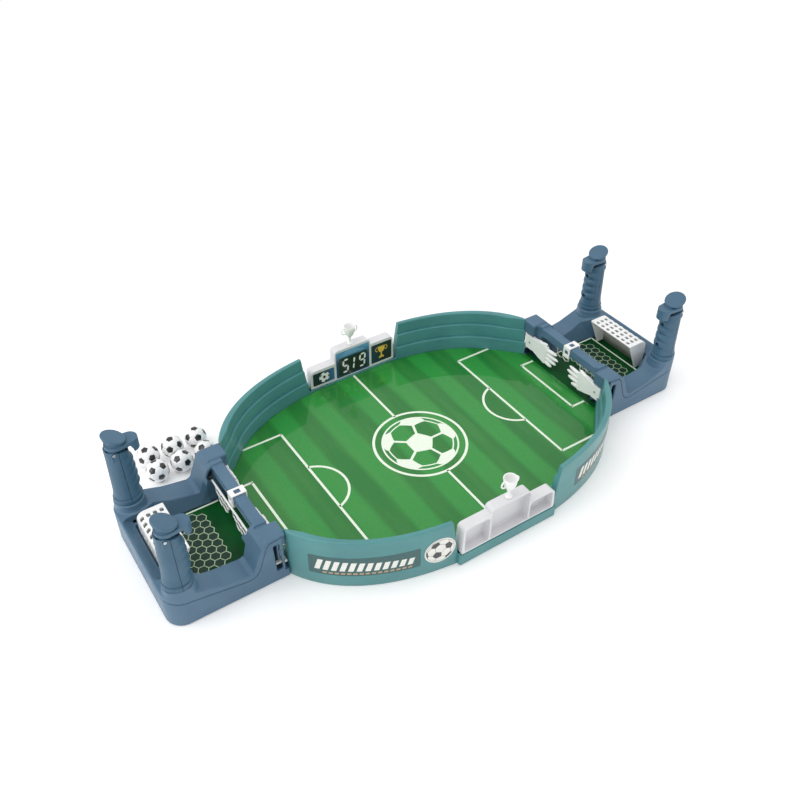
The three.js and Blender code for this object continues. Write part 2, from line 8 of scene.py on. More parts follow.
import bmesh
import bpy
import numpy as np
from mathutils import Matrix, Vector


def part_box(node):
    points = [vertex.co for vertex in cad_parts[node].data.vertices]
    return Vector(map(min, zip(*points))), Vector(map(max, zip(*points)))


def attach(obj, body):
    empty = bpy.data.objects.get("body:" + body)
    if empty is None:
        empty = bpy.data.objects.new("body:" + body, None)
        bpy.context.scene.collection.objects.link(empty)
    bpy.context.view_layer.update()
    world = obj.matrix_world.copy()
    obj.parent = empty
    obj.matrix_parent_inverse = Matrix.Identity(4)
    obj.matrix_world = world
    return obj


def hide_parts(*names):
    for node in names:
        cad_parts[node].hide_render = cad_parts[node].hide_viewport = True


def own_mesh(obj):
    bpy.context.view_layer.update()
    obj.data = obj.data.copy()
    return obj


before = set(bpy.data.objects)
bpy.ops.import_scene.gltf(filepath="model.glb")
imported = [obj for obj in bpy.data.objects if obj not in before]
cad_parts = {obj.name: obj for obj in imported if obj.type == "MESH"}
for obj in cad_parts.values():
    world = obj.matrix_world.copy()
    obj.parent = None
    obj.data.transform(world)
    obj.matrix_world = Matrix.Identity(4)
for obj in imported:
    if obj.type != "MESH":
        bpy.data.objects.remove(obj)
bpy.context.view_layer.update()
scene = bpy.context.scene

MM = 0.001
RIM_Z = 54.0
PITCH_Z = 10.0
PRINT_Z = PITCH_Z + 0.04
SHEET_Z = 9.35
GROUND_GAP = 0.2
OVAL_POWER = 2.5
OUTER = (194.0, 138.0)
INNER = (182.0, 129.0)
OVAL_END = 180.5
TERRACE = 2.3
BAND_Z = (25.0, 40.0)
MOUTH_Y = 56.0
FUNNEL = (152.0, 86.0)
GRIP_X, GRIP_Y, GRIP_Z0, GRIP_Z1 = 272.0, 55.5, 42.3, 98.0
PAD_X, PAD_Z, PAD_TILT = 271.0, 112.3, 24.0
PIN_X, PIN_Z = 276.0, 99.0
ROD_X = 267.6
CRANK_X, CRANK_Z = 261.6, 7.5
LINK_Y, LINK_Z = 62.0, 16.5
WRIST_X, WRIST_Y = 184.0, 57.0
ENDS = (("left", -1), ("right", 1))
SIDES = (("front", -1), ("rear", 1))


# ---------- solids in millimetres ----------
def linked(name, data):
    """A new object that shows the data in the scene."""
    obj = bpy.data.objects.new(name, data)
    scene.collection.objects.link(obj)
    return obj


def unpacked(bm, name):
    """A new object from an edit mesh, which is freed."""
    mesh = bpy.data.meshes.new(name)
    bm.to_mesh(mesh)
    bm.free()
    return linked(name, mesh)


def face_outward(mesh, merge=0.0):
    """Joins vertices closer than merge and turns every face outwards."""
    bm = bmesh.new()
    bm.from_mesh(mesh)
    if merge:
        bmesh.ops.remove_doubles(bm, verts=bm.verts, dist=merge)
    bmesh.ops.recalc_face_normals(bm, faces=bm.faces)
    bm.to_mesh(mesh)
    bm.free()


def body_mesh(name, verts, faces, outward=True):
    mesh = bpy.data.meshes.new(name)
    mesh.from_pydata([tuple(v) for v in verts], [], [tuple(f) for f in faces])
    if outward:
        face_outward(mesh)
    return linked(name, mesh)


def drop(*objects):
    for obj in objects:
        mesh = obj.data
        bpy.data.objects.remove(obj)
        bpy.data.meshes.remove(mesh)


def settle(obj):
    """Makes the object's modifiers part of its mesh."""
    bpy.context.view_layer.update()
    made = bpy.data.meshes.new_from_object(obj.evaluated_get(bpy.context.evaluated_depsgraph_get()))
    obj.modifiers.clear()
    old = obj.data
    obj.data = made
    bpy.data.meshes.remove(old)
    return obj


def combine(base, operation, tools):
    for tool in tools:
        step = base.modifiers.new("step", "BOOLEAN")
        step.operation = operation
        step.solver = "MANIFOLD"
        step.object = tool
    settle(base)
    drop(*tools)
    return base


def join(base, *tools):
    return combine(base, "UNION", tools)


def cut(base, *tools):
    return combine(base, "DIFFERENCE", tools)


def keep(base, *tools):
    return combine(base, "INTERSECT", tools)


def prism(points, lo, hi, plane="xy"):
    """A flat outline drawn out from lo to hi along the axis its plane leaves free."""
    place = {
        "xy": lambda u, v, w: (u, v, w),
        "xz": lambda u, v, w: (u, w, v),
        "yz": lambda u, v, w: (w, u, v),
    }[plane]
    n = len(points)
    verts = [place(u, v, lo) for u, v in points] + [place(u, v, hi) for u, v in points]
    faces = [range(n), range(2 * n - 1, n - 1, -1)]
    faces += [(i, (i + 1) % n, (i + 1) % n + n, i + n) for i in range(n)]
    return body_mesh("tool", verts, faces)


def block(x0, x1, y0, y1, z0, z1):
    return prism([(x0, y0), (x1, y0), (x1, y1), (x0, y1)], z0, z1)


def blocks(x0, x1, y0, y1, z0, z1):
    """Two blocks, one on each side of the plane y = 0."""
    return [block(x0, x1, y0, y1, z0, z1), block(x0, x1, -y1, -y0, z0, z1)]


def circle(cx, cy, r, count=48, start=0.0, sweep=360.0):
    closed = sweep >= 360
    steps = count if closed else count - 1
    angles = [math.radians(start + sweep * i / steps) for i in range(count)]
    return [(cx + r * math.cos(a), cy + r * math.sin(a)) for a in angles]


def tube(axis, r, length, x, y, z, sides=40):
    spot = {"x": (y, z, x, "yz"), "y": (x, z, y, "xz"), "z": (x, y, z, "xy")}[axis]
    u, v, w, plane = spot
    return prism(circle(u, v, r, sides), w - length / 2, w + length / 2, plane)


def rounded(points, radii, steps=6):
    """The outline with each corner rounded by its radius."""
    made = []
    n = len(points)
    for i, corner in enumerate(points):
        radius = radii[i] if isinstance(radii, (list, tuple)) else radii
        p = Vector(corner)
        a = Vector(points[i - 1]) - p
        b = Vector(points[(i + 1) % n]) - p
        half = a.angle(b) / 2
        reach = min(radius / math.tan(half), a.length * 0.49, b.length * 0.49)
        if radius <= 0 or reach < 1e-4:
            made.append(tuple(p))
            continue
        r = reach * math.tan(half)
        start, end = p + a.normalized() * reach, p + b.normalized() * reach
        centre = p + (a.normalized() + b.normalized()).normalized() * (r / math.sin(half))
        u, v = start - centre, end - centre
        turn = u.angle_signed(v)
        for k in range(steps + 1):
            t = -turn * k / steps
            c, s = math.cos(t), math.sin(t)
            made.append((centre.x + u.x * c - u.y * s, centre.y + u.x * s + u.y * c))
    return made


def lathe(profile, x, y, z, sides=64):
    """Turns a (radius, height) profile about a vertical axis; it starts and ends on the axis."""
    rings = [p for p in profile if p[0] > 1e-6]
    verts = [(x, y, z + profile[0][1]), (x, y, z + profile[-1][1])]
    for r, h in rings:
        verts += [(px, py, z + h) for px, py in circle(x, y, r, sides)]
    faces = []
    last = 2 + (len(rings) - 1) * sides
    for i in range(sides):
        j = (i + 1) % sides
        faces.append((0, 2 + j, 2 + i))
        faces.append((1, last + i, last + j))
        for k in range(len(rings) - 1):
            low, high = 2 + k * sides, 2 + (k + 1) * sides
            faces.append((low + i, low + j, high + j, high + i))
    return body_mesh("tool", verts, faces)


def ring_at(centre, u, v, reach_u, reach_v, sides):
    """Points of an ellipse round a centre, reach_u along u and reach_v along v."""
    turns = [2 * math.pi * k / sides for k in range(sides)]
    return [tuple(centre + u * reach_u * math.cos(a) + v * reach_v * math.sin(a)) for a in turns]


def loft(rings):
    """A closed skin through rings of points with the same count."""
    n = len(rings[0])
    verts = [p for ring in rings for p in ring]
    faces = [range(n), range(len(verts) - 1, len(verts) - n - 1, -1)]
    for k in range(len(rings) - 1):
        for i in range(n):
            j = (i + 1) % n
            faces.append((k * n + i, k * n + j, (k + 1) * n + j, (k + 1) * n + i))
    return body_mesh("tool", verts, faces)


def soften(obj, cell, rounds, most=None):
    """Rebuilds a solid on a fine grid and smooths it, so that every edge is moulded round."""
    grid = obj.modifiers.new("grid", "REMESH")
    grid.mode = "VOXEL"
    grid.voxel_size = cell
    ease = obj.modifiers.new("ease", "SMOOTH")
    ease.factor = 0.5
    ease.iterations = rounds
    settle(obj)
    if most and len(obj.data.polygons) * 2 > most:
        thin = obj.modifiers.new("thin", "DECIMATE")
        thin.ratio = most / (len(obj.data.polygons) * 2)
        settle(obj)
    return obj


def copy_of(obj, sx=1, sy=1):
    made = linked("copy", obj.data.copy())
    made.data.transform(Matrix.Diagonal((sx, sy, 1, 1)))
    if sx * sy < 0:
        made.data.flip_normals()
    return made


def merged(name, objects):
    """One object holding several meshes, left as they are."""
    bm = bmesh.new()
    for obj in objects:
        bm.from_mesh(obj.data)
    drop(*objects)
    return unpacked(bm, name)


def piece(obj, name, body, look, slot, angle=32, bevel=0.0, node=None):
    """Turns a shape in millimetres into a named piece that rides on a body and may replace a CAD node."""
    obj.name = name
    obj.data.name = name
    obj.data.transform(Matrix.Scale(MM, 4))
    if look is not None:
        obj.data.materials.clear()
        obj.data.materials.append(look)
    dress(obj, angle, bevel)
    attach(obj, body)
    if node:
        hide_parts(node)
    return obj


def dress(obj, angle, bevel):
    obj.data.polygons.foreach_set("use_smooth", [True] * len(obj.data.polygons))
    if bevel:
        edge = obj.modifiers.new("edge", "BEVEL")
        edge.width = bevel * MM
        edge.segments = 3
        edge.limit_method = "ANGLE"
        edge.angle_limit = math.radians(angle)
        edge.harden_normals = True
    else:
        obj.data.set_sharp_from_angle(angle=math.radians(angle))


def dress_node(node, look, bevel, angle=32):
    """Gives a shown CAD node its finish and soft edges."""
    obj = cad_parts[node]
    obj.data.materials.clear()
    obj.data.materials.append(look)
    weld = obj.modifiers.new("weld", "WELD")
    weld.merge_threshold = 1e-6
    dress(obj, angle, bevel)


# ---------- looks ----------
def linear(rgb):
    """8-bit screen colour to scene colour."""
    def one(c):
        c /= 255
        return c / 12.92 if c <= 0.04045 else ((c + 0.055) / 1.055) ** 2.4
    return (one(rgb[0]), one(rgb[1]), one(rgb[2]), 1.0)


class Look:
    """A node material under construction."""

    def __init__(self, name):
        self.material = bpy.data.materials.new(name)
        self.material.use_nodes = True
        self.tree = self.material.node_tree
        self.shader = self.tree.nodes["Principled BSDF"]
        self.coords = self.tree.nodes.new("ShaderNodeTexCoord").outputs["Object"]

    def node(self, kind, **settings):
        made = self.tree.nodes.new(kind)
        for key, value in settings.items():
            setattr(made, key, value)
        return made

    def link(self, source, target):
        self.tree.links.new(source, target)

    def set(self, **values):
        for key, value in values.items():
            self.shader.inputs[key.replace("_", " ")].default_value = value

    def stretched(self, sx, sy, sz):
        mapping = self.node("ShaderNodeMapping")
        mapping.inputs["Scale"].default_value = (sx, sy, sz)
        self.link(self.coords, mapping.inputs["Vector"])
        return mapping.outputs["Vector"]

    def noise(self, scale, detail=3.0, vector=None, roughness=0.5):
        made = self.node("ShaderNodeTexNoise")
        made.inputs["Scale"].default_value = scale
        made.inputs["Detail"].default_value = detail
        made.inputs["Roughness"].default_value = roughness
        self.link(vector or self.coords, made.inputs["Vector"])
        return made.outputs["Fac"]

    def ramp(self, value, lo, hi, out_lo=0.0, out_hi=1.0):
        made = self.node("ShaderNodeMapRange")
        for key, number in (("From Min", lo), ("From Max", hi), ("To Min", out_lo), ("To Max", out_hi)):
            made.inputs[key].default_value = number
        self.link(value, made.inputs["Value"])
        return made.outputs["Result"]

    def math(self, operation, a, b=0.0):
        made = self.node("ShaderNodeMath", operation=operation)
        for socket, value in zip(made.inputs, (a, b)):
            if isinstance(value, (int, float)):
                socket.default_value = value
            else:
                self.link(value, socket)
        return made.outputs[0]

    def mix(self, factor, a, b):
        made = self.node("ShaderNodeMix", data_type="RGBA")
        for index, value in ((0, factor), (6, a), (7, b)):
            if isinstance(value, (tuple, int, float)):
                made.inputs[index].default_value = value
            else:
                self.link(value, made.inputs[index])
        return made.outputs[2]

    def bump(self, height, strength, distance):
        made = self.node("ShaderNodeBump")
        made.inputs["Strength"].default_value = strength
        made.inputs["Distance"].default_value = distance
        self.link(height, made.inputs["Height"])
        self.link(made.outputs["Normal"], self.shader.inputs["Normal"])


def moulded(name, light, dark, rough=(0.36, 0.5), grain=0.12, coat=0.0):
    """Injection-moulded plastic: faint flow marks, fine grain and a slightly uneven sheen."""
    look = Look(name)
    flow = look.noise(22.0, 4.0, look.stretched(1.0, 1.0, 1.6), 0.55)
    tone = look.mix(look.ramp(flow, 0.35, 0.65), linear(light), linear(dark))
    look.link(tone, look.shader.inputs["Base Color"])
    sheen = look.noise(60.0, 2.0)
    look.link(look.ramp(sheen, 0.3, 0.7, *rough), look.shader.inputs["Roughness"])
    look.bump(look.noise(1400.0, 2.0), grain, 0.0001)
    look.set(Coat_Weight=coat, Coat_Roughness=0.12)
    return look.material


def printed(name, colour, dark=None, rough=0.3, coat=0.7, shine=0.5):
    """Flat ink under a clear film."""
    look = Look(name)
    ink = look.noise(300.0, 3.0)
    tone = look.mix(look.ramp(ink, 0.3, 0.7), linear(colour), linear(dark or [c * 0.94 for c in colour]))
    look.link(tone, look.shader.inputs["Base Color"])
    look.set(Roughness=rough, Coat_Weight=coat, Coat_Roughness=0.03, Specular_IOR_Level=shine)
    return look.material


def turf():
    """Mown stripes across the pitch under a glossy film."""
    look = Look("pitch_print")
    split = look.node("ShaderNodeSeparateXYZ")
    look.link(look.coords, split.inputs["Vector"])
    wander = look.ramp(look.noise(14.0, 3.0, look.stretched(1.0, 0.35, 1.0)), 0.0, 1.0, -0.006, 0.006)
    across = look.math("ADD", split.outputs["X"], wander)
    phase = look.math("SINE", look.math("MULTIPLY", across, math.pi / 0.022))
    stripe = look.ramp(phase, -0.35, 0.35)
    tone = look.mix(stripe, linear((38, 142, 54)), linear((20, 116, 38)))
    streak = look.noise(60.0, 5.0, look.stretched(1.0, 0.12, 1.0), 0.6)
    tone = look.mix(look.ramp(streak, 0.42, 0.75, 0.0, 0.5), tone, linear((66, 140, 62)))
    tone = look.mix(look.ramp(look.noise(420.0, 3.0), 0.45, 0.8, 0.0, 0.25), tone, linear((14, 98, 30)))
    look.link(tone, look.shader.inputs["Base Color"])
    look.set(Roughness=0.5, Specular_IOR_Level=0.25, Coat_Weight=0.85, Coat_Roughness=0.02, Coat_IOR=1.45)
    return look.material


def pit_print():
    look = Look("pit_print")
    tone = look.mix(look.ramp(look.noise(40.0, 4.0), 0.35, 0.7), linear((8, 80, 32)), linear((9, 58, 30)))
    look.link(tone, look.shader.inputs["Base Color"])
    look.set(Roughness=0.5, Specular_IOR_Level=0.1, Coat_Weight=0.12, Coat_Roughness=0.03, Coat_IOR=1.4)
    return look.material


def steel():
    look = Look("steel")
    brushed = look.noise(900.0, 3.0, look.stretched(0.2, 1.0, 1.0))
    tone = look.mix(look.ramp(brushed, 0.3, 0.7), (0.62, 0.63, 0.65, 1), (0.48, 0.49, 0.51, 1))
    look.link(tone, look.shader.inputs["Base Color"])
    look.link(look.ramp(brushed, 0.3, 0.7, 0.2, 0.38), look.shader.inputs["Roughness"])
    look.set(Metallic=1.0)
    return look.material


def fade(name, near, far, lo, hi, axis="X"):
    """A printed panel whose colour runs from one tone to another along an axis, in millimetres."""
    look = Look(name)
    split = look.node("ShaderNodeSeparateXYZ")
    look.link(look.coords, split.inputs["Vector"])
    place = look.math("ADD", split.outputs[axis], look.ramp(look.noise(120.0, 3.0), 0, 1, -0.003, 0.003))
    tone = look.mix(look.ramp(place, lo * MM, hi * MM), linear(near), linear(far))
    look.link(tone, look.shader.inputs["Base Color"])
    look.set(Roughness=0.3, Coat_Weight=0.6, Coat_Roughness=0.05)
    return look.material


BLUE = moulded("blue_plastic", (81, 113, 137), (71, 104, 129))
BLUE_GRIP = moulded("blue_grip_plastic", (60, 97, 121), (51, 89, 114), (0.4, 0.52), 0.2)
BLUE_PAD = moulded("blue_pad_plastic", (68, 102, 126), (62, 97, 121), (0.42, 0.5), 0.06)
TEAL = moulded("teal_plastic", (78, 142, 143), (70, 131, 134), (0.3, 0.42), 0.08, 0.15)
WHITE = moulded("white_plastic", (246, 246, 245), (236, 237, 236), (0.3, 0.42), 0.06, 0.1)
# painted shade: the podiums get a greyer copy of the white plastic, standing in for the shade the stands are in
SHADED_STAND_WHITE = moulded("shaded_stand_plastic", (224, 224, 226), (214, 214, 217), (0.34, 0.46), 0.06, 0.1)
LINKAGE = moulded("linkage_plastic", (232, 232, 228), (220, 220, 216), (0.45, 0.55), 0.08)
TURF = turf()
PIT = pit_print()
STEEL = steel()
LINE = printed("line_print", (240, 248, 232), (228, 240, 220), 0.35, 0.9)
HEX_LINE = printed("hex_line_print", (186, 206, 172), (168, 190, 154), 0.5, 0.2, 0.2)
HEX_FILL = printed("hex_fill_print", (26, 64, 48), (18, 48, 36), 0.5, 0.2, 0.2)
BLACK = printed("black_print", (20, 24, 28))
DIGIT = printed("digit_print", (248, 250, 250))
GOLD = printed("gold_print", (246, 208, 88), (222, 174, 58))
BAND = printed("band_print", (44, 92, 92), (38, 82, 84), 0.4, 0.3)
CREAM = printed("cream_print", (240, 240, 232))
TAN = printed("tan_print", (176, 150, 116))
BALL_WHITE = printed("ball_white", (250, 250, 250), (242, 242, 242), 0.28, 0.5)
BALL_BLACK = printed("ball_black", (22, 22, 26), (14, 14, 18), 0.28, 0.5)
# painted shade: the grip screw heads are near-black, standing in for the shade inside their holes
SCREW_HOLE_SHADE = moulded("screw_hole_shade", (34, 38, 44), (22, 25, 30), (0.3, 0.5))
# painted shade: the goal's inner back panel runs from dark at the bottom to light grey at the top, standing in
# for the shade inside the goal
SHADE_PANEL_LOOK = fade("goal_shade_panel", (88, 94, 82), (186, 187, 182), 13, 23, "Z")
LABEL_LEFT = fade("label_left_print", (18, 26, 44), (58, 104, 150), -40, -24)
LABEL_MIDDLE = fade("label_middle_print", (30, 62, 104), (96, 160, 206), 34, 46, "Z")
LABEL_RIGHT = fade("label_right_print", (22, 44, 72), (26, 30, 36), 26, 44)
GLINT = printed("glint_print", (160, 206, 232))
SEAM_PRINT = printed("seam_print", (120, 126, 126))


# ---------- the oval ----------
def oval_reach(t, axes, grow):
    c, s = abs(math.cos(t)), abs(math.sin(t))
    return ((c / (axes[0] + grow)) ** OVAL_POWER + (s / (axes[1] + grow)) ** OVAL_POWER) ** (-1 / OVAL_POWER)


def play_reach(t, grow):
    """Distance from the middle to the edge of the playing area: the oval or the end funnels."""
    c, s = abs(math.cos(t)), abs(math.sin(t))
    side, start, end = MOUTH_Y + grow, FUNNEL[1] + grow, OVAL_END + 1
    slope = (start - side) / (FUNNEL[0] - end)
    flat = start / max(s, 1e-9)
    slant = (side - slope * end) / (s - slope * c)
    funnel = flat if flat * c <= FUNNEL[0] else slant
    return max(oval_reach(t, INNER, grow), funnel)


def curve(kind, grow, steps, end=OVAL_END):
    """One half of an oval edge, from the right end round the rear to the left end."""
    reach = (lambda t: oval_reach(t, OUTER, grow)) if kind == "out" else (lambda t: play_reach(t, grow))
    lo, hi = 0.05, 1.2
    for _ in range(50):
        middle = (lo + hi) / 2
        if reach(middle) * math.cos(middle) > end:
            lo = middle
        else:
            hi = middle
    angles = [hi + (math.pi - 2 * hi) * i / steps for i in range(steps + 1)]
    return [(reach(t) * math.cos(t), reach(t) * math.sin(t)) for t in angles]


def arc(kind, grow, z, r, start, end, count=5):
    turns = [math.radians(start + (end - start) * i / (count - 1)) for i in range(count)]
    return [(kind, grow + r * math.cos(a), z + r * math.sin(a)) for a in turns]


def wall_profile():
    rim, edge, groove = 1.6, 0.7, 0.55
    top = 2 * TERRACE
    profile = [("out", -0.8, 0.0), ("out", -0.2, 0.25), ("out", 0.0, 0.9), ("out", 0.0, 20.0)]
    profile += arc("out", -rim, RIM_Z - rim, rim, 0, 90, 7)
    profile += arc("in", top + rim, RIM_Z - rim, rim, 90, 180, 7)
    for grow, z in ((top, BAND_Z[1]), (TERRACE, BAND_Z[0])):
        profile += [("in", grow, z + 1.3), ("in", grow + groove, z + 1.0), ("in", grow + groove, z + 0.15)]
        profile += [("in", grow - TERRACE + edge + 0.6, z)]
        profile += arc("in", grow - TERRACE + edge, z - edge, edge, 90, 180, 5)
    profile += [("in", 0.0, 9.0), ("in", 0.0, 0.8), ("in", 0.8, 0.0)]
    return profile


def half_wall(steps=240):
    profile = wall_profile()
    curves = {}
    for kind, grow, _ in profile:
        if (kind, grow) not in curves:
            curves[kind, grow] = curve(kind, grow, steps)
    rings = []
    for i in range(steps + 1):
        rings.append([(*curves[kind, grow][i], z) for kind, grow, z in profile])
    return loft(rings)


NOTCH_LOW, NOTCH_HIGH, NOTCH_Z = 54.0, 60.0, 12.0


def weigh_notch(obj):
    """Marks the edges left by the stand's notch, for rounding."""
    mesh = obj.data
    bm = bmesh.new()
    bm.from_mesh(mesh)
    layer = bm.edges.layers.float.new("bevel_weight_edge")
    for edge in bm.edges:
        middle = (edge.verts[0].co + edge.verts[1].co) / 2
        side = NOTCH_LOW + (middle.z - NOTCH_Z) * (NOTCH_HIGH - NOTCH_LOW) / (RIM_Z + 1 - NOTCH_Z)
        on_side = abs(abs(middle.x) - side) < 0.05 and middle.z > NOTCH_Z - 0.01
        on_floor = abs(middle.z - NOTCH_Z) < 0.01 and abs(middle.x) < NOTCH_LOW + 0.05
        if (on_side or on_floor) and len(edge.link_faces) == 2 and edge.calc_face_angle(0) > 0.6:
            edge[layer] = 1.0
    bm.to_mesh(mesh)
    bm.free()


def wall_curve(steps=720):
    """The outer wall's plan as angle and running length, for stickers that follow it."""
    angles = np.linspace(-math.pi, 0, steps)
    reach = np.array([oval_reach(t, OUTER, 0) for t in angles])
    points = np.stack([reach * np.cos(angles), reach * np.sin(angles)], axis=1)
    length = np.concatenate([[0], np.cumsum(np.linalg.norm(np.diff(points, axis=0), axis=1))])
    return angles, length


WALL_ANGLES, WALL_LENGTH = wall_curve()


def on_wall(start, u, z, lift):
    s = np.interp(math.radians(start), WALL_ANGLES, WALL_LENGTH) + u
    t = float(np.interp(s, WALL_LENGTH, WALL_ANGLES))
    reach = oval_reach(t, OUTER, lift)
    return (reach * math.cos(t), reach * math.sin(t), z)


def sheet(polygons, spot, step=None):
    """Flat polygons cut into strips and laid on a surface by spot(u, v)."""
    bm = bmesh.new()
    for polygon in polygons:
        bm.faces.new([bm.verts.new((u, v, 0)) for u, v in polygon])
    bmesh.ops.triangulate(bm, faces=bm.faces[:])
    if step:
        us = [v.co.x for v in bm.verts]
        u = min(us) + step
        while u < max(us):
            geometry = bm.verts[:] + bm.edges[:] + bm.faces[:]
            bmesh.ops.bisect_plane(bm, geom=geometry, plane_co=(u, 0, 0), plane_no=(1, 0, 0))
            u += step
    for vert in bm.verts:
        vert.co = spot(vert.co.x, vert.co.y)
    return unpacked(bm, "sheet")


# ---------- soccer ball panels ----------
def ball_panels():
    """Face corners of a truncated icosahedron on the unit sphere: pentagons, then hexagons."""
    phi = (1 + math.sqrt(5)) / 2
    corners = []
    for a in (-1, 1):
        for b in (-phi, phi):
            corners += [Vector((0, a, b)), Vector((a, b, 0)), Vector((b, 0, a))]
    near = lambda i, j: i != j and abs((corners[i] - corners[j]).length - 2) < 0.01
    cuts = {(i, j): corners[i].lerp(corners[j], 1 / 3) for i in range(12) for j in range(12) if near(i, j)}

    def ordered(points):
        centre = sum(points, Vector()) / len(points)
        x = (points[0] - centre).normalized()
        y = centre.normalized().cross(x)
        return sorted(points, key=lambda p: math.atan2((p - centre).dot(y), (p - centre).dot(x)))

    pentagons = [ordered([p for (i, _), p in cuts.items() if i == k]) for k in range(12)]
    hexagons = []
    for i in range(12):
        for j in range(i + 1, 12):
            for k in range(j + 1, 12):
                if near(i, j) and near(j, k) and near(i, k):
                    ring = [cuts[a, b] for a in (i, j, k) for b in (i, j, k) if a != b]
                    hexagons.append(ordered(ring))
    return pentagons, hexagons


PENTAGONS, HEXAGONS = ball_panels()


def facing(panels, turn):
    return [[(turn @ p) for p in panel] for panel in panels]


def seen(panels, turn):
    """The turned panels that face +Z."""
    return [panel for panel in facing(panels, turn) if sum(panel, Vector()).z > 0.2]


def ball_turn(spin=0.0):
    """Turns the ball so that a pentagon faces +Z."""
    centre = sum(PENTAGONS[0], Vector()).normalized()
    up = centre.rotation_difference(Vector((0, 0, 1))).to_matrix()
    return Matrix.Rotation(spin, 3, "Z") @ up


def flat_panel(panel, radius, shrink, pieces=6, limit=0.985):
    """A panel seen straight on, shrunk towards its middle and kept inside the disc."""
    centre = sum(panel, Vector()) / len(panel)
    outline = []
    for i, a in enumerate(panel):
        b = panel[(i + 1) % len(panel)]
        for k in range(pieces):
            p = centre.lerp(a.lerp(b, k / pieces), shrink).normalized()
            if p.z < 0:
                p = Vector((p.x, p.y, 0)).normalized()
            flat = Vector((p.x, p.y))
            if flat.length > limit:
                flat = flat.normalized() * limit
            outline.append((flat.x * radius, flat.y * radius))
    return outline


def area(polygon):
    return abs(sum(a[0] * b[1] - b[0] * a[1] for a, b in zip(polygon, polygon[1:] + polygon[:1]))) / 2


def ball_solid(radius, turn, cuts=8, seam=0.035):
    """A ball of puffed panels with pressed seams; the second material is the dark one."""
    verts, faces, dark = [], [], []
    for kind, panels in ((1, facing(PENTAGONS, turn)), (0, facing(HEXAGONS, turn))):
        for panel in panels:
            centre = sum(panel, Vector()) / len(panel)
            for i, a in enumerate(panel):
                b = panel[(i + 1) % len(panel)]
                base = len(verts)
                for row in range(cuts + 1):
                    for col in range(row + 1):
                        t = row / cuts
                        edge = a.lerp(b, col / row) if row else centre
                        dip = max(0.0, (t - 0.8) / 0.2)
                        height = 1 - seam * dip * dip
                        verts.append(centre.lerp(edge, t).normalized() * radius * height)
                at = lambda row, col: base + row * (row + 1) // 2 + col
                for row in range(cuts):
                    for col in range(row + 1):
                        faces.append((at(row, col), at(row + 1, col), at(row + 1, col + 1)))
                        dark.append(kind)
                        if col < row:
                            faces.append((at(row, col), at(row + 1, col + 1), at(row, col + 1)))
                            dark.append(kind)
    mesh = bpy.data.meshes.new("ball")
    mesh.from_pydata([tuple(v) for v in verts], [], faces)
    mesh.polygons.foreach_set("material_index", dark)
    face_outward(mesh, radius * 1e-4)
    return linked("ball", mesh)


# ---------- table ----------
def build_table():
    ledge_half, ledge_in, ledge_out = 54.4, 127.5, 139.8
    notch = [(-NOTCH_LOW, NOTCH_Z), (NOTCH_LOW, NOTCH_Z)]
    notch += [(NOTCH_HIGH, RIM_Z + 1), (-NOTCH_HIGH, RIM_Z + 1)]
    rear_half = half_wall()
    for side, sy in reversed(SIDES):
        wall = copy_of(rear_half, 1, sy)
        y0, y1 = sorted((100 * sy, 150 * sy))
        cut(wall, prism(notch, y0, y1, "xz"))
        weigh_notch(wall)
        node = "table_body" if sy > 0 else None
        piece(wall, side + "_wall", "table", TEAL, "teal_plastic", 40, 0, node)
        edge = wall.modifiers.new("edge", "BEVEL")
        edge.width = 0.7 * MM
        edge.segments = 3
        edge.limit_method = "WEIGHT"
        y0, y1 = sorted((ledge_in * sy, ledge_out * sy))
        ledge = prism(rounded(bar(-ledge_half, ledge_half, y0, y1), 1.5), GROUND_GAP, NOTCH_Z)
        piece(ledge, side + "_ledge", "table", TEAL, "teal_plastic", 30, 0.6)
    drop(rear_half)
    outline = curve("in", -0.05, 160)
    outline += [(-x, -y) for x, y in outline]
    piece(prism(outline, 6.5, 9.3), "floor_plate", "table", TEAL, "teal_plastic", 30)
    outline = curve("in", -0.4, 200, OVAL_END + 0.7)
    outline += [(-x, -y) for x, y in outline]
    piece(prism(outline, SHEET_Z, PITCH_Z), "pitch", "table", TURF, "printed_sheet", 30, 0, "pitch_sheet")


def ribbon(points, width, closed=False):
    """Outline quads of a flat line through the points."""
    quads = []
    count = len(points) if closed else len(points) - 1
    n = len(points)
    normals = []
    for i in range(n):
        before = Vector(points[i - 1]) if closed or i else Vector(points[i])
        after = Vector(points[(i + 1) % n]) if closed or i + 1 < n else Vector(points[i])
        along = (after - before).normalized()
        normals.append(Vector((-along.y, along.x)) * width / 2)
    for i in range(count):
        j = (i + 1) % n
        a, b = Vector(points[i]), Vector(points[j])
        p, q = normals[i], normals[j]
        quads.append([tuple(corner) for corner in (a - p, b - q, b + q, a + p)])
    return quads


def bar(x0, x1, y0, y1):
    return [(x0, y0), (x1, y0), (x1, y1), (x0, y1)]


def shifted(polygon, du, dv):
    return [(u + du, v + dv) for u, v in polygon]


def hexagon(u, v, cell, first=0):
    """Corners of a six-sided cell, rounded so that neighbours share them exactly."""
    turns = [math.radians(first + 60 * k) for k in range(6)]
    return [(round(u + cell * math.cos(t), 2), round(v + cell * math.sin(t), 2)) for t in turns]


def hexagon_edges(ring):
    return {tuple(sorted((ring[k - 1], ring[k]))) for k in range(6)}


def on_pitch(lift=0.0, sx=1):
    return lambda u, v: (sx * u, v, PRINT_Z + lift)


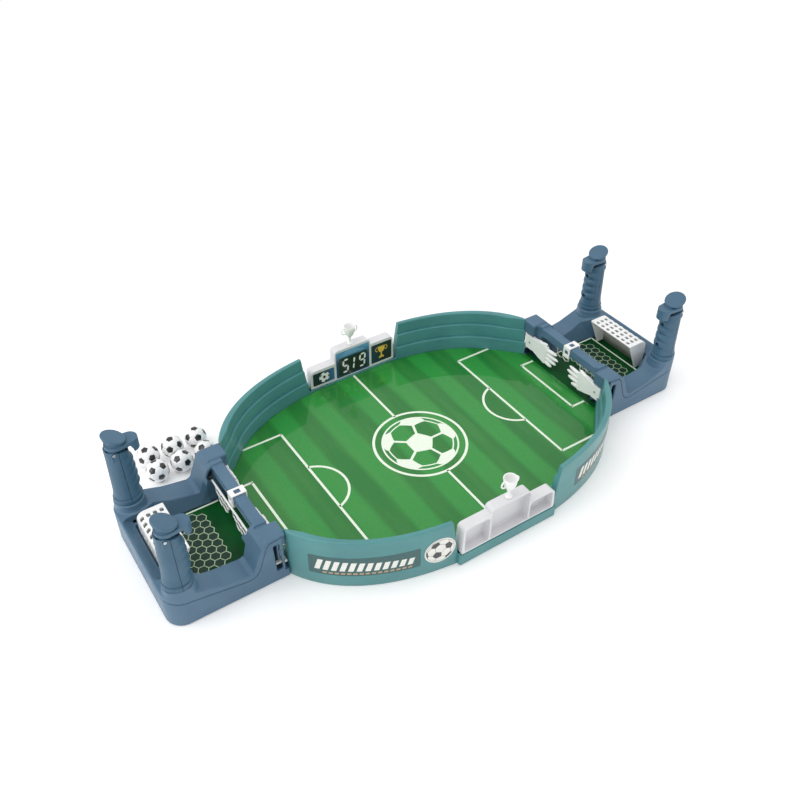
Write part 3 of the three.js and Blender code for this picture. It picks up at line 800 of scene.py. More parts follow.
def build_markings():
    w = 2.5
    h = w / 2
    ring, badge, middle_end = 46.2, 38.6, 128.4
    arc_x, arc_r = 118.3, 31.3
    # each box: its line across the pitch, its half width, and where its sides start and end
    boxes = ((110, 86, 110, 152.3), (163.8, 41.3, 162.6, 180))
    lines = [bar(-h, h, ring, middle_end), bar(-h, h, -middle_end, -ring)]
    for s in (-1, 1):
        for across, half, start, end in boxes:
            lines.append(bar(s * across - h, s * across + h, -half, half))
            x0, x1 = sorted((s * start, s * end))
            for y in (-half, half):
                lines.append(bar(x0, x1, y - h, y + h))
        reach = math.degrees(math.acos((arc_x - boxes[0][0]) / arc_r))
        start = -reach if s < 0 else 180 - reach
        lines += ribbon(circle(s * arc_x, 0, arc_r, 48, start, 2 * reach), w)
    lines += ribbon(circle(0, 0, ring, 128), w + 0.2, True)
    lines.append(circle(0, 0, badge, 96))
    piece(sheet(lines, on_pitch()), "pitch_lines", "table", LINE, "printed_sheet")
    turn = ball_turn(math.radians(18))
    patches = [flat_panel(p, badge, 0.9, limit=0.955) for p in seen(HEXAGONS, turn)]
    patches = [p for p in patches if area(p) > 8]
    piece(sheet(patches, on_pitch(0.03)), "pitch_badge", "table", TURF, "printed_sheet")


def segments(digit):
    return {"5": "afgcd", "1": "bc", "9": "abcdfg", "0": "abcdef", "2": "abged"}[digit]


def digit_bars(digit, u, v, w, h, t, lean):
    """Seven-segment bars of one digit, as leaning polygons with pointed ends."""
    mid = v + h / 2
    spots = {"a": (u, v + h, u + w, v + h), "g": (u, mid, u + w, mid), "d": (u, v, u + w, v)}
    spots.update({"f": (u, mid, u, v + h), "b": (u + w, mid, u + w, v + h)})
    spots.update({"e": (u, v, u, mid), "c": (u + w, v, u + w, mid)})
    bars = []
    for name in segments(digit):
        x0, y0, x1, y1 = spots[name]
        a, b = Vector((x0, y0)), Vector((x1, y1))
        along = (b - a).normalized()
        side = Vector((-along.y, along.x)) * t / 2
        a, b = a + along * t * 0.25, b - along * t * 0.25
        points = [a, a + along * t / 2 - side, b - along * t / 2 - side, b, b - along * t / 2 + side]
        points.append(a + along * t / 2 + side)
        bars.append([(p.x + lean * (p.y - v), p.y) for p in points])
    return bars


def stand_room(x0, x1, top, front, back, foot):
    """The hollow of one step, open to the back."""
    wall = 1.8
    outline = rounded(bar(x0, x1, foot + wall, top - wall), [1.2, 1.2, 3.5, 3.5])
    return prism(outline, front + 2, back + 1, "xz")


def build_stands():
    half, front, back, foot, low, mid, high, centre = 52, 128, 138.9, 12.3, 35, 43, 50, 22
    outline = [(-half, foot), (half, foot), (half - 1.2, mid), (centre, mid), (centre - 0.6, high)]
    outline += [(-centre + 0.6, high), (-centre, low), (-half + 1.2, low)]
    stand = prism(rounded(outline, [0.8, 0.8, 4.5, 0.6, 4, 4, 0.6, 4.5]), front, back, "xz")
    rooms = [stand_room(-half + 3.2, -centre - 1, low, front, back, foot)]
    rooms.append(stand_room(-centre + 1, centre - 1, high, front, back, foot))
    rooms.append(stand_room(centre + 1, half - 3.2, mid, front, back, foot))
    cut(stand, *rooms)
    soften(stand, 0.42, 3, 150000)
    cup_y, cup_z = 133, 50.3
    profile = [(0, 0), (3.4, 0), (3.6, 0.3), (3.5, 1.1), (2.3, 1.8), (1.6, 2.9), (1.35, 4.8)]
    profile += [(1.4, 6.4), (2.1, 7.2), (1.6, 8), (2, 9), (3.7, 11), (5.1, 13.4), (5.9, 16.4)]
    profile += [(6.2, 19.6), (6.5, 22), (6.2, 22.5), (5.6, 22.2), (5.2, 19.8), (4.9, 17)]
    profile += [(3.9, 14.4), (2, 12.4), (0, 12)]
    cup = lathe(profile, 0, cup_y, cup_z)
    for s in (-1, 1):
        join(cup, cup_handle(s * 6.1, cup_y, 67.4, 3.2, 3.7, 0.7, s))
    for side, turn in (("rear", 0), ("front", math.pi)):
        spin = Matrix.Rotation(turn, 4, "Z")
        made = copy_of(stand)
        made.data.transform(spin)
        # the podiums wear the greyer copy of the white plastic as painted shade
        piece(made, side + "_podium", "table", SHADED_STAND_WHITE, "white_plastic", 60, 0, side + "_stand")
        made = copy_of(cup)
        made.data.transform(spin)
        piece(made, side + "_trophy", "table", WHITE, "white_plastic", 40, 0, side + "_cup")
        build_labels(side, spin, front)
    drop(stand, cup)


def cup_handle(x, y, z, across, up, r, s, steps=22, sides=12):
    """A cup handle: a rod bent outwards from the bowl and back."""
    rings = []
    for i in range(steps + 1):
        t = math.pi * (-0.62 + 1.2 * i / steps)
        centre = Vector((x + s * across * math.cos(t), y, z + up * math.sin(t)))
        out = Vector((s * math.cos(t), 0, math.sin(t)))
        rings.append(ring_at(centre, out, Vector((0, 1, 0)), r, r, sides))
    return loft(rings)


def build_labels(side, spin, front):
    """Printed panels on the face that looks over the pitch."""
    def face(lift):
        def spot(u, v):
            return spin @ Vector((u, front - lift, v))
        return spot

    def add(name, polygons, look, lift):
        obj = sheet(polygons, face(lift))
        piece(obj, side + "_label_" + name, "table", look, "printed_sheet")

    panels = (
        ("left", (-49, -23.2, 15.5, 31.5), 1.2, LABEL_LEFT, 0.08),
        ("middle", (-20.5, 20.5, 14, 47), 1.6, LABEL_MIDDLE, 0.08),
        ("right", (23.2, 49, 15.5, 39.5), 1.2, LABEL_RIGHT, 0.08),
        ("display", (-17.5, 17.5, 16, 38.5), 1.2, BLACK, 0.14),
    )
    for key, edges, corner, look, lift in panels:
        add(key, [rounded(bar(*edges), corner)], look, lift)
    digits = []
    for digit, u in (("5", -13), ("1", 0.2), ("9", 7.6)):
        w = 6.2 if digit != "1" else 0.2
        digits += digit_bars(digit, u, 19.5, w, 15.5, 2.1, 0.1)
    add("digits", digits, DIGIT, 0.2)
    ball_u, ball_v, ball_r = -35.5, 23.5, 6.2
    add("ball", [circle(ball_u, ball_v, ball_r, 40)], DIGIT, 0.16)
    spots = [flat_panel(p, ball_r, 0.92) for p in seen(PENTAGONS, ball_turn(math.radians(18)))]
    spots = [shifted(p, ball_u, ball_v) for p in spots if area(p) > 0.8]
    add("ball_spots", spots, BLACK, 0.22)
    bowl = [(-4.6, 8), (4.6, 8), (4.2, 3.4), (2.2, 0.4), (0.8, -0.4), (0.8, -4.4), (3, -5.4), (3.4, -7.4)]
    bowl += [(-3.4, -7.4), (-3, -5.4), (-0.8, -4.4), (-0.8, -0.4), (-2.2, 0.4), (-4.2, 3.4)]
    cup = [bowl]
    for s in (-1, 1):
        cup += ribbon(circle(s * 4.8, 4.6, 2.6, 14, -90 if s > 0 else 90, 180), 0.9)
    cup_u, cup_v = 36, 27.5
    add("cup", [shifted(polygon, cup_u, cup_v) for polygon in cup], GOLD, 0.16)
    glints = [bar(-16 + 2 * k, 16 - 3 * k, 40.6 + 1.15 * k, 41 + 1.15 * k) for k in range(5)]
    add("glints", glints, GLINT, 0.16)


def build_stickers():
    """Plain bars and a ball in place of the lettering on the outer wall."""
    disc_z, disc_r, ball_r = 26.0, 14.6, 13.4
    foot, fine_foot, fine_top, lean = 19.5, 15.3, 17.4, 0.3
    stickers = (("front_left", -154.2, 96.0, 114.0), ("front_right", -57.5, 74.0, 92.0))
    for name, start, length, ball_at in stickers:
        def wall_spot(lift):
            return lambda u, v: on_wall(start, u, v, lift)

        def add(part_name, polygons, look, lift):
            obj = sheet(polygons, wall_spot(lift), 2.0)
            piece(obj, name + "_sticker_" + part_name, "table", look, "printed_sheet")

        add("band", [rounded(bar(0, length, 13.5, 36), 1.5)], BAND, 0.1)
        bars, fine = [], []
        for k in range(int((ball_at - 24) / 7.2)):
            u, h = 5 + 7.2 * k, 12.5 - 0.45 * k
            side = u + h * lean
            bars.append([(u, foot), (u + 4.6, foot), (side + 4.6, foot + h), (side, foot + h)])
        for k in range(int((ball_at - 34) / 5.2)):
            u = 12 + 5.2 * k
            fine.append([(u, fine_foot), (u + 3.6, fine_foot), (u + 4, fine_top), (u + 0.4, fine_top)])
        add("bars", bars, CREAM, 0.18)
        add("fine", fine, TAN, 0.18)
        add("disc", [circle(ball_at, disc_z, disc_r, 64)], CREAM, 0.2)
        turn = ball_turn(math.radians(-18))
        tilt = Matrix.Rotation(math.radians(24), 3, "X") @ Matrix.Rotation(math.radians(-12), 3, "Y")
        spots = [flat_panel(p, ball_r, 0.96) for p in seen(PENTAGONS, tilt @ turn)]
        spots = [shifted(p, ball_at, disc_z) for p in spots if area(p) > 2]
        add("spots", spots, BLACK, 0.27)
        seams = []
        for panel in seen(HEXAGONS, tilt @ turn):
            seams += ribbon(flat_panel(panel, ball_r, 1.0), 0.35, True)
        seams = [shifted(quad, ball_at, disc_z) for quad in seams if area(quad) > 0.01]
        add("seams", seams, SEAM_PRINT, 0.24)


# ---------- goal units, built for the right-hand end ----------
END_X0, END_X1, END_Y, END_R = 181.2, 288.0, 67.5, 16.0
WALL_MM = 2.5


def end_outline(inset):
    x0, x1, y, r = END_X0 + inset, END_X1 - inset, END_Y - inset, END_R - inset
    outline = [(x0, -y)] + circle(x1 - r, -y + r, r, 18, -90, 90) + circle(x1 - r, y - r, r, 18, 0, 90)
    return outline + [(x0, y)]


def seam_line(gap):
    """Side view of the joint between base and cover, raised by gap."""
    points = [(END_X0 - 1, 50), (197, 48.4), (199.5, 46), (208, 22)]
    points += [(212, 17.6), (218, 16.2), (260, 24), (END_X1 + 1, 29)]
    return [(x, z + gap) for x, z in points]


def cover_line(fall):
    points = [(END_X1 + 1, 34, 0), (264, 34, 0), (240, 26, 0), (217, 22, 0), (213, 24, 0.4)]
    points += [(204, 47, 0.6), (199, 52, 0.6), (END_X0 - 1, 52, 0)]
    return [(x - fall * k, z - fall) for x, z, k in points]


def end_base():
    side = [(END_X0 - 1, 0)] + seam_line(-0.1) + [(END_X1 + 1, 0)]
    base = keep(prism(end_outline(0), GROUND_GAP, 60), prism(side, -80, 80, "xz"))
    cut(base, prism(end_outline(WALL_MM), 2.4, 60), *blocks(END_X0 - 1, END_X0 + WALL_MM + 1, 0, 80, 9, 60))
    join(base, cut(block(184, 279, -42, 42, 0.2, 8.6), block(188, 275, -39, 39, -1, 7)))
    for y in (50.4, 62):
        join(base, *blocks(CRANK_X - 3, CRANK_X + 3, y, y + 2, 2, 11))
    for x in (205, 236):
        join(base, *blocks(x - 2, x + 2, 58.6, 65.2, 2, 18.4))
    cut(base, *blocks(200, 245, LINK_Y - 1.8, LINK_Y + 1.8, LINK_Z - 1.9, 20))
    cut(base, *blocks(CRANK_X - 2.1, CRANK_X + 2.1, 50, 64.5, CRANK_Z - 2.1, 12))
    for s in (-1, 1):
        window = rounded([(186.8, 12), (192.4, 12), (193.6, 44), (188.2, 44)], 1.0)
        cut(base, prism(window, min(s * 60, s * 70), max(s * 60, s * 70), "xz"))
    return soften(base, 0.62, 2, 190000)


def pit_solid(grow, z0, z1):
    def side(y1, y2, y3, x2):
        return [(END_X0 - 3 - grow, 41 + grow), (200, 39 + grow), (x2, y1 + grow), (252, y2 + grow),
                (264, y3 + grow), (277 + grow, 35 + grow)]

    def ring(half, z):
        return [(x, -y, z) for x, y in half] + [(x, y, z) for x, y in reversed(half)]

    return loft([ring(side(40, 40, 38, 216), z0), ring(side(50, 50, 41, 220), z1)])


def shelf_line(fall):
    """Side view of the room above the dished shelf behind the goal."""
    points = [(266, 25.6), (277, 25.8), (280, 27), (283.4, 30.6), (286.4, 34), (290, 36)]
    return [(x + fall * 0.4, z - fall) for x, z in points] + [(290, 60), (266, 60)]


def corner_tool(y, z, r, s):
    """What a rounded top edge running along X takes away at a corner."""
    turns = [math.pi / 2 * k / 6 for k in range(7)]
    outline = [(y - s * (r - r * math.sin(a)), z - r + r * math.cos(a)) for a in turns]
    outline += [(y + s * 2, z - r), (y + s * 2, z + 2), (y - s * r, z + 2)]
    return prism(outline, END_X0 - 1, 205, "yz")


def end_cover():
    side = seam_line(0.4) + cover_line(0)
    lid = keep(prism(end_outline(0), 0, 60), prism(side, -80, 80, "xz"))
    room = [(END_X1 + 1, -1)] + cover_line(WALL_MM) + [(END_X0 - 1, -1)]
    hollow = keep(prism(end_outline(WALL_MM), -1, 60), prism(room, -80, 80, "xz"))
    cut(hollow, prism(shelf_line(2.5), -42, 42, "xz"))
    cut(lid, hollow)
    full = [(END_X1 + 1, 9.5)] + cover_line(0) + [(END_X0 - 1, 9.5)]
    front = block(187.4, 300, -80, 80, 9.5, 60)
    walls = keep(pit_solid(WALL_MM, 9.5, 34.5), prism(full, -80, 80, "xz"), front)
    apron = keep(prism(shelf_line(2.5), -42, 42, "xz"), block(277, 285.2, -41.5, 41.5, 0, 33))
    join(lid, apron, walls, *blocks(187.4, 189.6, 38, 64.6, 22, 51), *blocks(187.4, 199, 38, 45, 9.5, 49))
    join(lid, *blocks(END_X0 + 0.2, 189, 47.5, 64.6, 37.8, 52))
    above = seam_line(0.4) + [(END_X1 + 1, 60), (END_X0 - 1, 60)]
    for s in (-1, 1):
        skirt = [(0, 20), (14.6, 20), (14.4, 34.5), (13.9, 36), (13.6, 38), (13.6, 41.4), (13.2, 42), (0, 42)]
        socket = lathe(skirt, GRIP_X, s * GRIP_Y, 0, 48)
        limit = prism(end_outline(0), 0, 60)
        join(lid, keep(socket, prism(above, -80, 80, "xz"), limit))
    cut(lid, pit_solid(0, 9, 34.5), block(198, 262, -36, 36, 9, 60))
    for s in (-1, 1):
        cut(lid, tube("z", 7.6, 30, GRIP_X - 1.5, s * GRIP_Y, 35))
    shelf = prism(rounded(bar(266, END_X1 - 1.6, -39.5, 39.5), [2, 7, 7, 2]), 20, 60)
    cut(lid, keep(shelf, prism(shelf_line(0), -42, 42, "xz")), block(END_X0 - 5, 203, -41, 41, 9, 40))
    cut(lid, block(END_X0 - 5, 203, -41, 41, 50, 60), block(END_X0 - 5, 188, -47.5, 47.5, 0, 60))
    cut(lid, block(199, 206, -41, 41, 9, 60))
    for s in (-1, 1):
        cut(lid, corner_tool(s * 67.5, 52, 4.5, s), corner_tool(s * 47.5, 52, 2.5, -s))
    join(lid, prism(rounded(bar(188, 199, 40, 50), 1.6), -48, 48, "xz"))
    return soften(lid, 0.6, 2, 190000)


def goal_frame():
    front, foot, back, half, top, z0 = 250.0, 265.0, 276.0, 30.0, 44.0, 10.3
    outside = rounded([(foot, z0), (back, z0), (back - 1, top), (front, top)], [0.4, 0.4, 7.5, 0.8], 8)
    wall, pitch = 1.8, 7.6
    inside = [(foot - 8, z0 - 1), (back - wall, z0 - 1), (back - wall - 1, top - wall), (front - 3, top - wall)]
    inside = rounded(inside, [0, 0, 6, 0], 8)
    shell = cut(prism(outside, -half, half, "xz"), prism(inside, -half + wall, half - wall, "xz"))
    columns = [pitch * i for i in range(-3, 4)]
    for row in range(4):
        x = front + 2.6 + 5.9 * row
        low = top - 3 - 6 * (row // 3)
        cut(shell, *[prism(rounded(bar(x, x + 3.5, y - 2.2, y + 2.2), 0.8, 3), low, top + 1) for y in columns])
    slots = [rounded(bar(y - 1.3, y + 1.3, 26.5, 35.5), 1.0, 3) for y in columns]
    cut(shell, *[prism(slot, back - 4, back + 1, "yz") for slot in slots])
    return soften(shell, 0.36, 2, 150000)


def goal_shade_panel():
    """The plain grey panel that closes the goal's back from the inside; its tone, dark at the bottom and
    lighter at the top, is painted shade inside the goal.
    """
    side = [(272.6, 10.6), (273.4, 10.6), (273, 36.4), (272.2, 36.4)]
    return prism(side, -27.9, 27.9, "xz")


def net_lattice():
    """Round strands along the edges of the swinging net's cells, hanging from its rod."""
    x, z, half, cell = 201.6, 36.6, 38.2, 5.2
    step = cell * math.sqrt(3)
    cells = [(i * step, z - cell) for i in (-3, -2, -1, 1, 2, 3)]
    cells += [(i * step, z - 2.5 * cell) for i in (-2.5, -1.5, 1.5, 2.5)]
    edges = set()
    for cy, cz in cells:
        edges |= hexagon_edges(hexagon(cy, cz, cell, 30))
    parts = [tube("y", 1.0, 2 * half, x, 0, z, 20)]
    for (y0, z0), (y1, z1) in sorted(edges):
        parts.append(strand((x, y0, z0), (x, y1, z1), 0.62))
    return merged("net", parts)


def strand(a, b, r, sides=10, caps=3):
    """A round-ended rod between two points."""
    a, b = Vector(a), Vector(b)
    along = (b - a).normalized()
    side = along.orthogonal().normalized()
    up = along.cross(side)
    stations = [(a, -math.pi / 2 * (1 - k / caps)) for k in range(caps + 1)]
    stations += [(b, math.pi / 2 * k / caps) for k in range(caps + 1)]
    rings = []
    for centre, t in stations:
        spot = centre + along * r * math.sin(t)
        size = max(r * math.cos(t), 0.02)
        rings.append(ring_at(spot, side, up, size, size, sides))
    return loft(rings)


def slider_ring():
    ring = block(186.1, 200.9, -4.6, 4.6, 38.3, 51.7)
    cut(ring, block(187.7, 199.3, -8, 8, 39.7, 50.3), block(190.6, 196.4, -2.5, 2.5, 50, 60))
    cut(ring, block(190, 197, -8, 8, 30, 40), *[block(x, x + 3, -2.5, 2.5, 42.5, 47.5) for x in (185, 199)])
    return soften(ring, 0.28, 2)


# ---------- hand stations, built for the +X, +Y corner ----------
def grip_radius(h):
    heights = [0, 4.3, 4.5, 5.4, 5.7, 9, 13.5, 48, 56.5]
    radii = [12.9, 12.9, 11.2, 11.2, 12.1, 11.6, 11.1, 10.1, 10.0]
    return float(np.interp(h, heights, radii))


def grip_skin(sides=72, levels=160, top=60.2):
    rings = []
    for k in range(levels + 1):
        h = top * k / levels
        swell = 2.3 * abs(math.sin((h - 13.5) / 8.5 * math.pi)) ** 0.75 if 13.5 < h < 47.5 else 0.0
        ring = []
        for i in range(sides):
            t = 2 * math.pi * i / sides
            reach = grip_radius(h) + swell * max(0.0, -math.cos(t)) ** 2.2
            ring.append((GRIP_X + reach * math.cos(t), GRIP_Y + 0.94 * reach * math.sin(t), GRIP_Z0 + h))
        rings.append(ring)
    return loft(rings)


def grip_halves():
    drop_by = math.tan(math.radians(20))
    x, y, z1 = GRIP_X, GRIP_Y, GRIP_Z1
    crown = z1 + 3.1
    slope = [(x + 4, crown), (x + 30, crown), (x + 30, z1 + 20), (x - 30, z1 + 20)]
    slope.append((x - 30, crown - 34 * drop_by))
    whole = cut(grip_skin(), prism(slope, y - 20, y + 20, "xz"))
    cut(whole, tube("z", 7.4, 31, x - 1.2, y, GRIP_Z0 + 14.5), tube("z", 7.4, 18.5, x - 1.2, y, 84.2))
    for s in (-1, 1):
        ear = join(block(PIN_X - 2.3, PIN_X + 2.3, y + s * 6.8 - 1.8, y + s * 6.8 + 1.8, 92, PIN_Z),
                   tube("y", 2.3, 3.6, PIN_X, y + s * 6.8, PIN_Z))
        join(whole, ear)
    cut(whole, tube("z", 2.2, 60, ROD_X, y, 70), block(x - 8.4, x + 8.2, y - 4.4, y + 4.4, 91, z1 + 5))
    cut(whole, tube("y", 1.55, 40, PIN_X, y, PIN_Z))
    palm = keep(copy_of(whole), block(x + 0.06, x + 30, 0, 100, 0, 200))
    finger = keep(copy_of(whole), block(x - 30, x - 0.06, 0, 100, 0, 200))
    cut(finger, tube("x", 2.1, 12, x - 14, y, 60), tube("x", 2.1, 12, x - 14, y, 85))
    drop(whole)
    return soften(palm, 0.34, 1, 90000), soften(finger, 0.34, 1, 90000)


def thumb_lever():
    x, y, z1 = GRIP_X, GRIP_Y, GRIP_Z1
    place = Matrix.Translation((PAD_X, y, PAD_Z)) @ Matrix.Rotation(-math.radians(PAD_TILT), 4, "Y")
    pad = [(0, -3), (9.2, -3), (10.2, -2.4), (10.6, -1.5), (10.4, -0.6), (9.8, -0.1), (0, 0)]
    lever = lathe(pad, 0, 0, 0, 72)
    lever.data.transform(place)
    over = block(-30, 30, -30, 30, -1, 40)
    over.data.transform(place)
    neck = [(0, 101.6), (7.4, 101.6), (7.2, 105), (7.8, 108.5), (9.4, 111.6), (0, 112)]
    neck = lathe(neck, x - 0.6, y, 0, 48)
    join(lever, cut(neck, over))
    hood = circle(x - 12.8, y, 7.2, 24, 90, 180) + circle(x, y, 8.6, 24, -90, 180)
    join(lever, prism(hood, z1 + 3.6, z1 + 7.6))
    nose = tube("z", 7.0, 5, x - 12.8, y, z1 + 2)
    relief = [(x - 13, z1 - 1), (x + 40, z1 - 1), (x + 40, z1 + 3.5), (x - 11, z1 + 3.5)]
    cut(nose, prism(relief, y - 20, y + 20, "xz"))
    skirt = keep(tube("z", 7.2, 8, x - 12.8, y, z1), block(x - 30, x - 13.6, 0, 100, 0, 200))
    join(lever, nose, skirt, block(ROD_X - 2.5, PIN_X + 3, y - 3.4, y + 3.4, 95.4, z1 + 4))
    cut(lever, tube("y", 1.5, 20, PIN_X, y, PIN_Z))
    return soften(lever, 0.34, 3, 90000)


def coil():
    turns, steps, r, wire = 5, 150, 2.6, 0.45
    z0, z1 = 75.6, 88.4
    rings = []
    for i in range(steps + 1):
        t = 2 * math.pi * turns * i / steps
        centre = Vector((ROD_X + r * math.cos(t), GRIP_Y + r * math.sin(t), z0 + (z1 - z0) * i / steps))
        out = Vector((math.cos(t), math.sin(t), 0))
        rings.append(ring_at(centre, out, Vector((0, 0, 1)), wire, wire, 8))
    return loft(rings)


def glove():
    """A flat glove on edge: cuff, palm, raised thumb and four fingers, with its crank below."""
    x, y = WRIST_X, WRIST_Y
    palm = [(y - 8, 20.6), (y - 19, 17.2), (y - 31, 14.2), (y - 33, 36.8), (y - 20, 38), (y - 8, 35.6)]
    hand = prism(rounded(palm, [2, 4, 2, 2, 4, 2]), x - 1.9, x + 1.9, "yz")
    lengths = (43.5, 49.5, 52, 49.5)
    for i, length in enumerate(lengths):
        low = 13.2 + 6.3 * i
        root = Vector((x, y - 27, 17.6 + 4.9 * i))
        tip = Vector((x, y - length + 2.2, low + 2.7))
        join(hand, finger_shape(root, tip, 2.6, 2.2))
    thumb = finger_shape(Vector((x, y - 20, 34)), Vector((x, y - 31.5, 39.6)), 3.4, 2.2)
    join(hand, thumb)
    cuff = rounded([(y - 10.5, 20.0), (y + 1, 19.6), (y + 1, 36.0), (y - 10.5, 36.4)], 1.4)
    join(hand, prism(cuff, x - 2.5, x + 2.5, "yz"))
    join(hand, tube("z", 2.8, 16.6, x, y, 27.8))
    join(hand, block(x - 1.4, x + 1.4, y - 1, y + 6.1, 18.4, 20.4), tube("z", 0.9, 4, x, y + 5, 17))
    return soften(hand, 0.34, 3, 80000)


def finger_shape(root, tip, r0, r1, steps=10):
    """A finger of the flat glove, wide as r0 at the root and r1 at its rounded tip."""
    half_thick, least = 1.9, 0.12
    along = (tip - root).normalized()
    side = Vector((1, 0, 0))
    up = along.cross(side).normalized()
    rings = []
    for k in range(steps + 1):
        t = -math.pi / 2 + math.pi * k / steps
        share = (math.sin(t) + 1) / 2
        centre = root.lerp(tip, k / steps)
        size = r0 + (r1 - r0) * share
        pinch = max(math.cos(t), 0.0) ** 0.35 if k > steps / 2 else 1.0
        pinch = max(pinch, least)
        rings.append(ring_at(centre, side, up, half_thick * pinch, size * pinch, 20))
    return loft(rings)


def build_station(end, sx, side, sy, parts):
    name = end + "_" + side + "_"

    def add(key, label, body, look, slot, node=None, angle=60, bevel=0.0):
        node = name + node if node else None
        return piece(copy_of(parts[key], sx, sy), name + label, body, look, slot, angle, bevel, node)

    add("palm", "handle_palm", "table", BLUE_GRIP, "blue_plastic", "grip_palm")
    add("finger", "handle_finger", "table", BLUE_GRIP, "blue_plastic", "grip_finger")
    add("lever", "thumb_pad", name + "lever", BLUE_PAD, "blue_plastic", "thumb_lever")
    add("pin", "pin", "table", STEEL, "steel", "lever_pin", 30, 0.3)
    spring = add("spring", "coil", "table", STEEL, "steel", "return_spring")
    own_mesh(spring)
    add("glove", "glove", name + "glove", WHITE, "white_plastic", "hand")
    add("cuff_screw", "cuff_screw", name + "glove", STEEL, "steel", None, 30, 0.15)
    # the grip screw heads are dark as painted shade in their holes
    add("grip_screws", "grip_screws", "table", SCREW_HOLE_SHADE, "steel", None, 30, 0.2)
    for hidden, bevel in (("push_rod", 0.25), ("bell_crank", 0.25), ("link_bar", 0.3)):
        dress_node(name + hidden, LINKAGE, bevel)


def screw_head(r, length, x, y, z, out=-1):
    """A cross-slotted screw head lying along X, its slots on the side out points to."""
    head = tube("x", r, length, x, y, z, 28)
    reach = r * 0.62
    near, far = sorted((x + out * (length / 2 - 0.35), x + out * (length / 2 + 1)))
    return cut(head, block(near, far, y - reach, y + reach, z - 0.22, z + 0.22),
               block(near, far, y - 0.22, y + 0.22, z - reach, z + reach))


def build_pit(end, sx):
    """The printed floor of the goal pit: border, goal line and honeycomb."""
    floor = keep(pit_solid(-0.5, SHEET_Z, 30), block(END_X0 + 0.3, 276, -60, 60, 9, PITCH_Z))
    join(floor, *blocks(END_X0 + 0.3, 187.1, 38, MOUTH_Y - 0.6, SHEET_Z, PITCH_Z))
    made = copy_of(floor, sx)
    drop(floor)
    piece(made, end + "_pit_floor", "table", PIT, "printed_sheet", 30, 0, end + "_goal_floor")
    cell, first_column, side_limit, back_limit = 5.0, 221.6, 38.6, 263.2
    step = cell * math.sqrt(3)
    fills, edges = [], set()
    for i in range(6):
        x = first_column + 1.5 * cell * i
        for j in range(-5, 6):
            y = step * (j + 0.5 * (i % 2))
            ring = hexagon(x, y, cell)
            if max(abs(v) for _, v in ring) > side_limit or max(u for u, _ in ring) > back_limit:
                continue
            fills.append(ring)
            edges |= hexagon_edges(ring)
    piece(sheet(fills, on_pitch(0, sx)), end + "_honeycomb_fill", "table", HEX_FILL, "printed_sheet")
    lines = []
    for a, b in sorted(edges):
        lines += ribbon([a, b], 0.8)
    piece(sheet(lines, on_pitch(0.03, sx)), end + "_honeycomb", "table", HEX_LINE, "printed_sheet")
    half_line, start, back, side = 0.9, 200, 264.3, 37.6
    border = [bar(back - half_line, back + half_line, -38, 38)]
    for y in (side, -side):
        border.append(bar(start, back + 0.1, y - half_line, y + half_line))
    piece(sheet(border, on_pitch(0.05, sx)), end + "_goal_line", "table", LINE, "printed_sheet")


def build_ends():
    parts = {}
    parts["palm"], parts["finger"] = grip_halves()
    parts["lever"] = thumb_lever()
    parts["pin"] = tube("y", 1.4, 19, PIN_X, GRIP_Y, PIN_Z, 28)
    parts["spring"] = coil()
    parts["glove"] = glove()
    parts["cuff_screw"] = screw_head(1.3, 5.9, WRIST_X, WRIST_Y - 5.5, 28.5)
    parts["grip_screws"] = merged("screws", [screw_head(1.7, 1.2, GRIP_X - 8.8, GRIP_Y, z) for z in (60, 85)])
    # each shape: its piece, the end's moving body it rides on (none for the table) and the node it shows
    shared = (
        (end_base(), "_tray", None, BLUE, "blue_plastic", "_base"),
        (end_cover(), "_lid", None, BLUE, "blue_plastic", "_cover"),
        (goal_frame(), "_goal_frame", None, WHITE, "white_plastic", "_goal"),
        (slider_ring(), "_slider_ring", "_slider", WHITE, "white_plastic", "_score_slider"),
        (net_lattice(), "_net_lattice", "_net", WHITE, "white_plastic", "_net_flap"),
    )
    shade_panel = goal_shade_panel()
    for end, sx in ENDS:
        for shape, label, moving, look, slot, node in shared:
            body = end + moving if moving else "table"
            piece(copy_of(shape, sx), end + label, body, look, slot, 60, 0, end + node)
        # the grey back panel in each goal carries painted shade
        piece(copy_of(shade_panel, sx), end + "_goal_shade_panel", "table", SHADE_PANEL_LOOK, "white_plastic", 30, 0.3)
        build_pit(end, sx)
        for side, sy in SIDES:
            build_station(end, sx, side, sy, parts)
    drop(shade_panel, *parts.values(), *[row[0] for row in shared])


def build_balls():
    for i in range(6):
        lo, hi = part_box(f"ball_{i + 1}")
        centre = (lo + hi) / 2 / MM
        radius = (hi - lo).z / 2 / MM
        roll = Matrix.Rotation(math.radians(-42 + 9 * i), 3, "Y")
        nod = Matrix.Rotation(math.radians(28 - 7 * i), 3, "X")
        ball = ball_solid(radius, roll @ nod @ ball_turn(0.5 * i))
        ball.data.transform(Matrix.Translation(centre))
        ball.data.materials.append(BALL_WHITE)
        ball.data.materials.append(BALL_BLACK)
        node = f"ball_{i + 1}"
        piece(ball, "soccer_" + node, "loose_" + node, None, "ball_plastic", 80, 0, node)


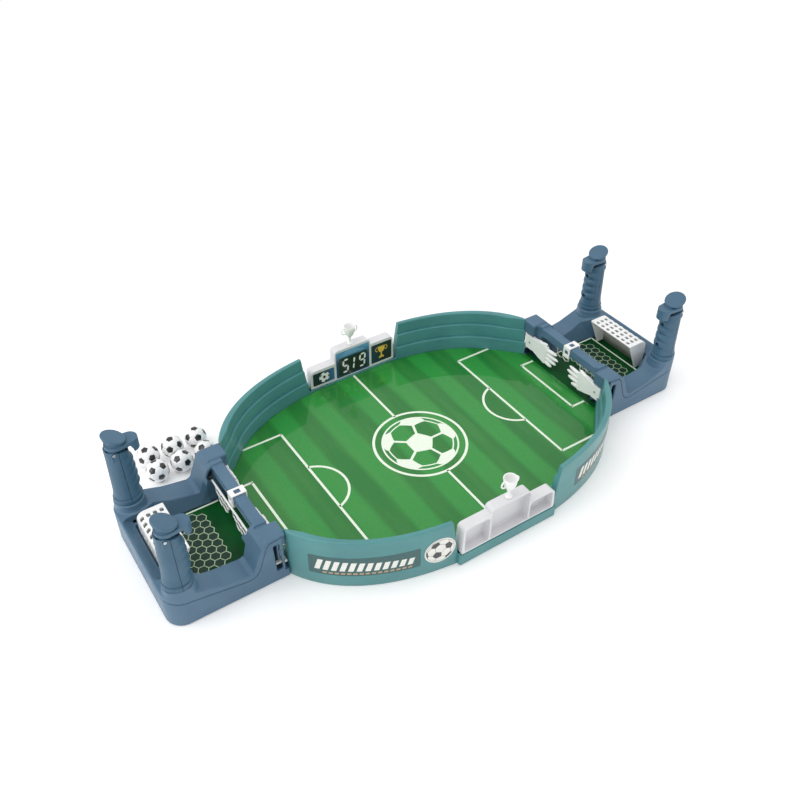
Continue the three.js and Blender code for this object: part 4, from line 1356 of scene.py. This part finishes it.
# ---------- studio ----------
def build_stage():
    half, depth = 3, -0.0004
    corners = [(x, y, depth) for x, y in bar(-half, half, -half, half)]
    floor = body_mesh("floor", corners, [(0, 1, 2, 3)], False)
    look = Look("floor_paper")
    tone = look.mix(look.noise(8.0), (0.93, 0.93, 0.93, 1), (0.95, 0.95, 0.95, 1))
    look.link(tone, look.shader.inputs["Base Color"])
    look.set(Roughness=0.9, Specular_IOR_Level=0.0, Emission_Color=(1, 1, 1, 1), Emission_Strength=0.12)
    floor.data.materials.append(look.material)
    world = bpy.data.worlds.new("studio")
    scene.world = world
    world.use_nodes = True
    sky = world.node_tree.nodes["Background"].inputs
    sky["Color"].default_value = (1, 1, 1, 1)
    sky["Strength"].default_value = 0.86
    lamps = (
        ("key", (-0.7, 0.0, 1.5), 1.2, 7.0),
        ("fill", (1.2, -0.1, 1.0), 1.5, 2.5),
        ("side", (-1.5, 0.25, 0.6), 0.8, 4.0),
    )
    for name, spot, size, power in lamps:
        lamp = bpy.data.lights.new(name, "AREA")
        lamp.size = size
        lamp.energy = power
        obj = linked(name, lamp)
        obj.location = spot
        obj.rotation_mode = "QUATERNION"
        obj.rotation_quaternion = (Vector((0, 0, 0)) - Vector(spot)).to_track_quat("-Z", "Y")
    scene.view_settings.view_transform = "Standard"


def build_camera():
    azimuth, elevation, roll = math.radians(-33.66), math.radians(40.07), math.radians(0.28)
    target = Vector((19.34, 65.68, 10.0)) * MM
    distance = 904.65 * MM
    flat = math.cos(elevation)
    back = Vector((math.sin(azimuth) * flat, -math.cos(azimuth) * flat, math.sin(elevation)))
    right = Vector((math.cos(azimuth), math.sin(azimuth), 0))
    up = back.cross(right)
    x = right * math.cos(roll) + up * math.sin(roll)
    y = up * math.cos(roll) - right * math.sin(roll)
    camera = bpy.data.cameras.new("camera")
    camera.sensor_width = 36
    camera.lens = 36 * 862.19 / 800
    camera.clip_start = 0.01
    obj = linked("camera", camera)
    rows = list(zip(x, y, back, target + back * distance))
    obj.matrix_world = Matrix((*rows, (0, 0, 0, 1)))
    scene.camera = obj


build_table()
build_markings()
build_stands()
build_stickers()
build_ends()
build_balls()
build_stage()
build_camera()
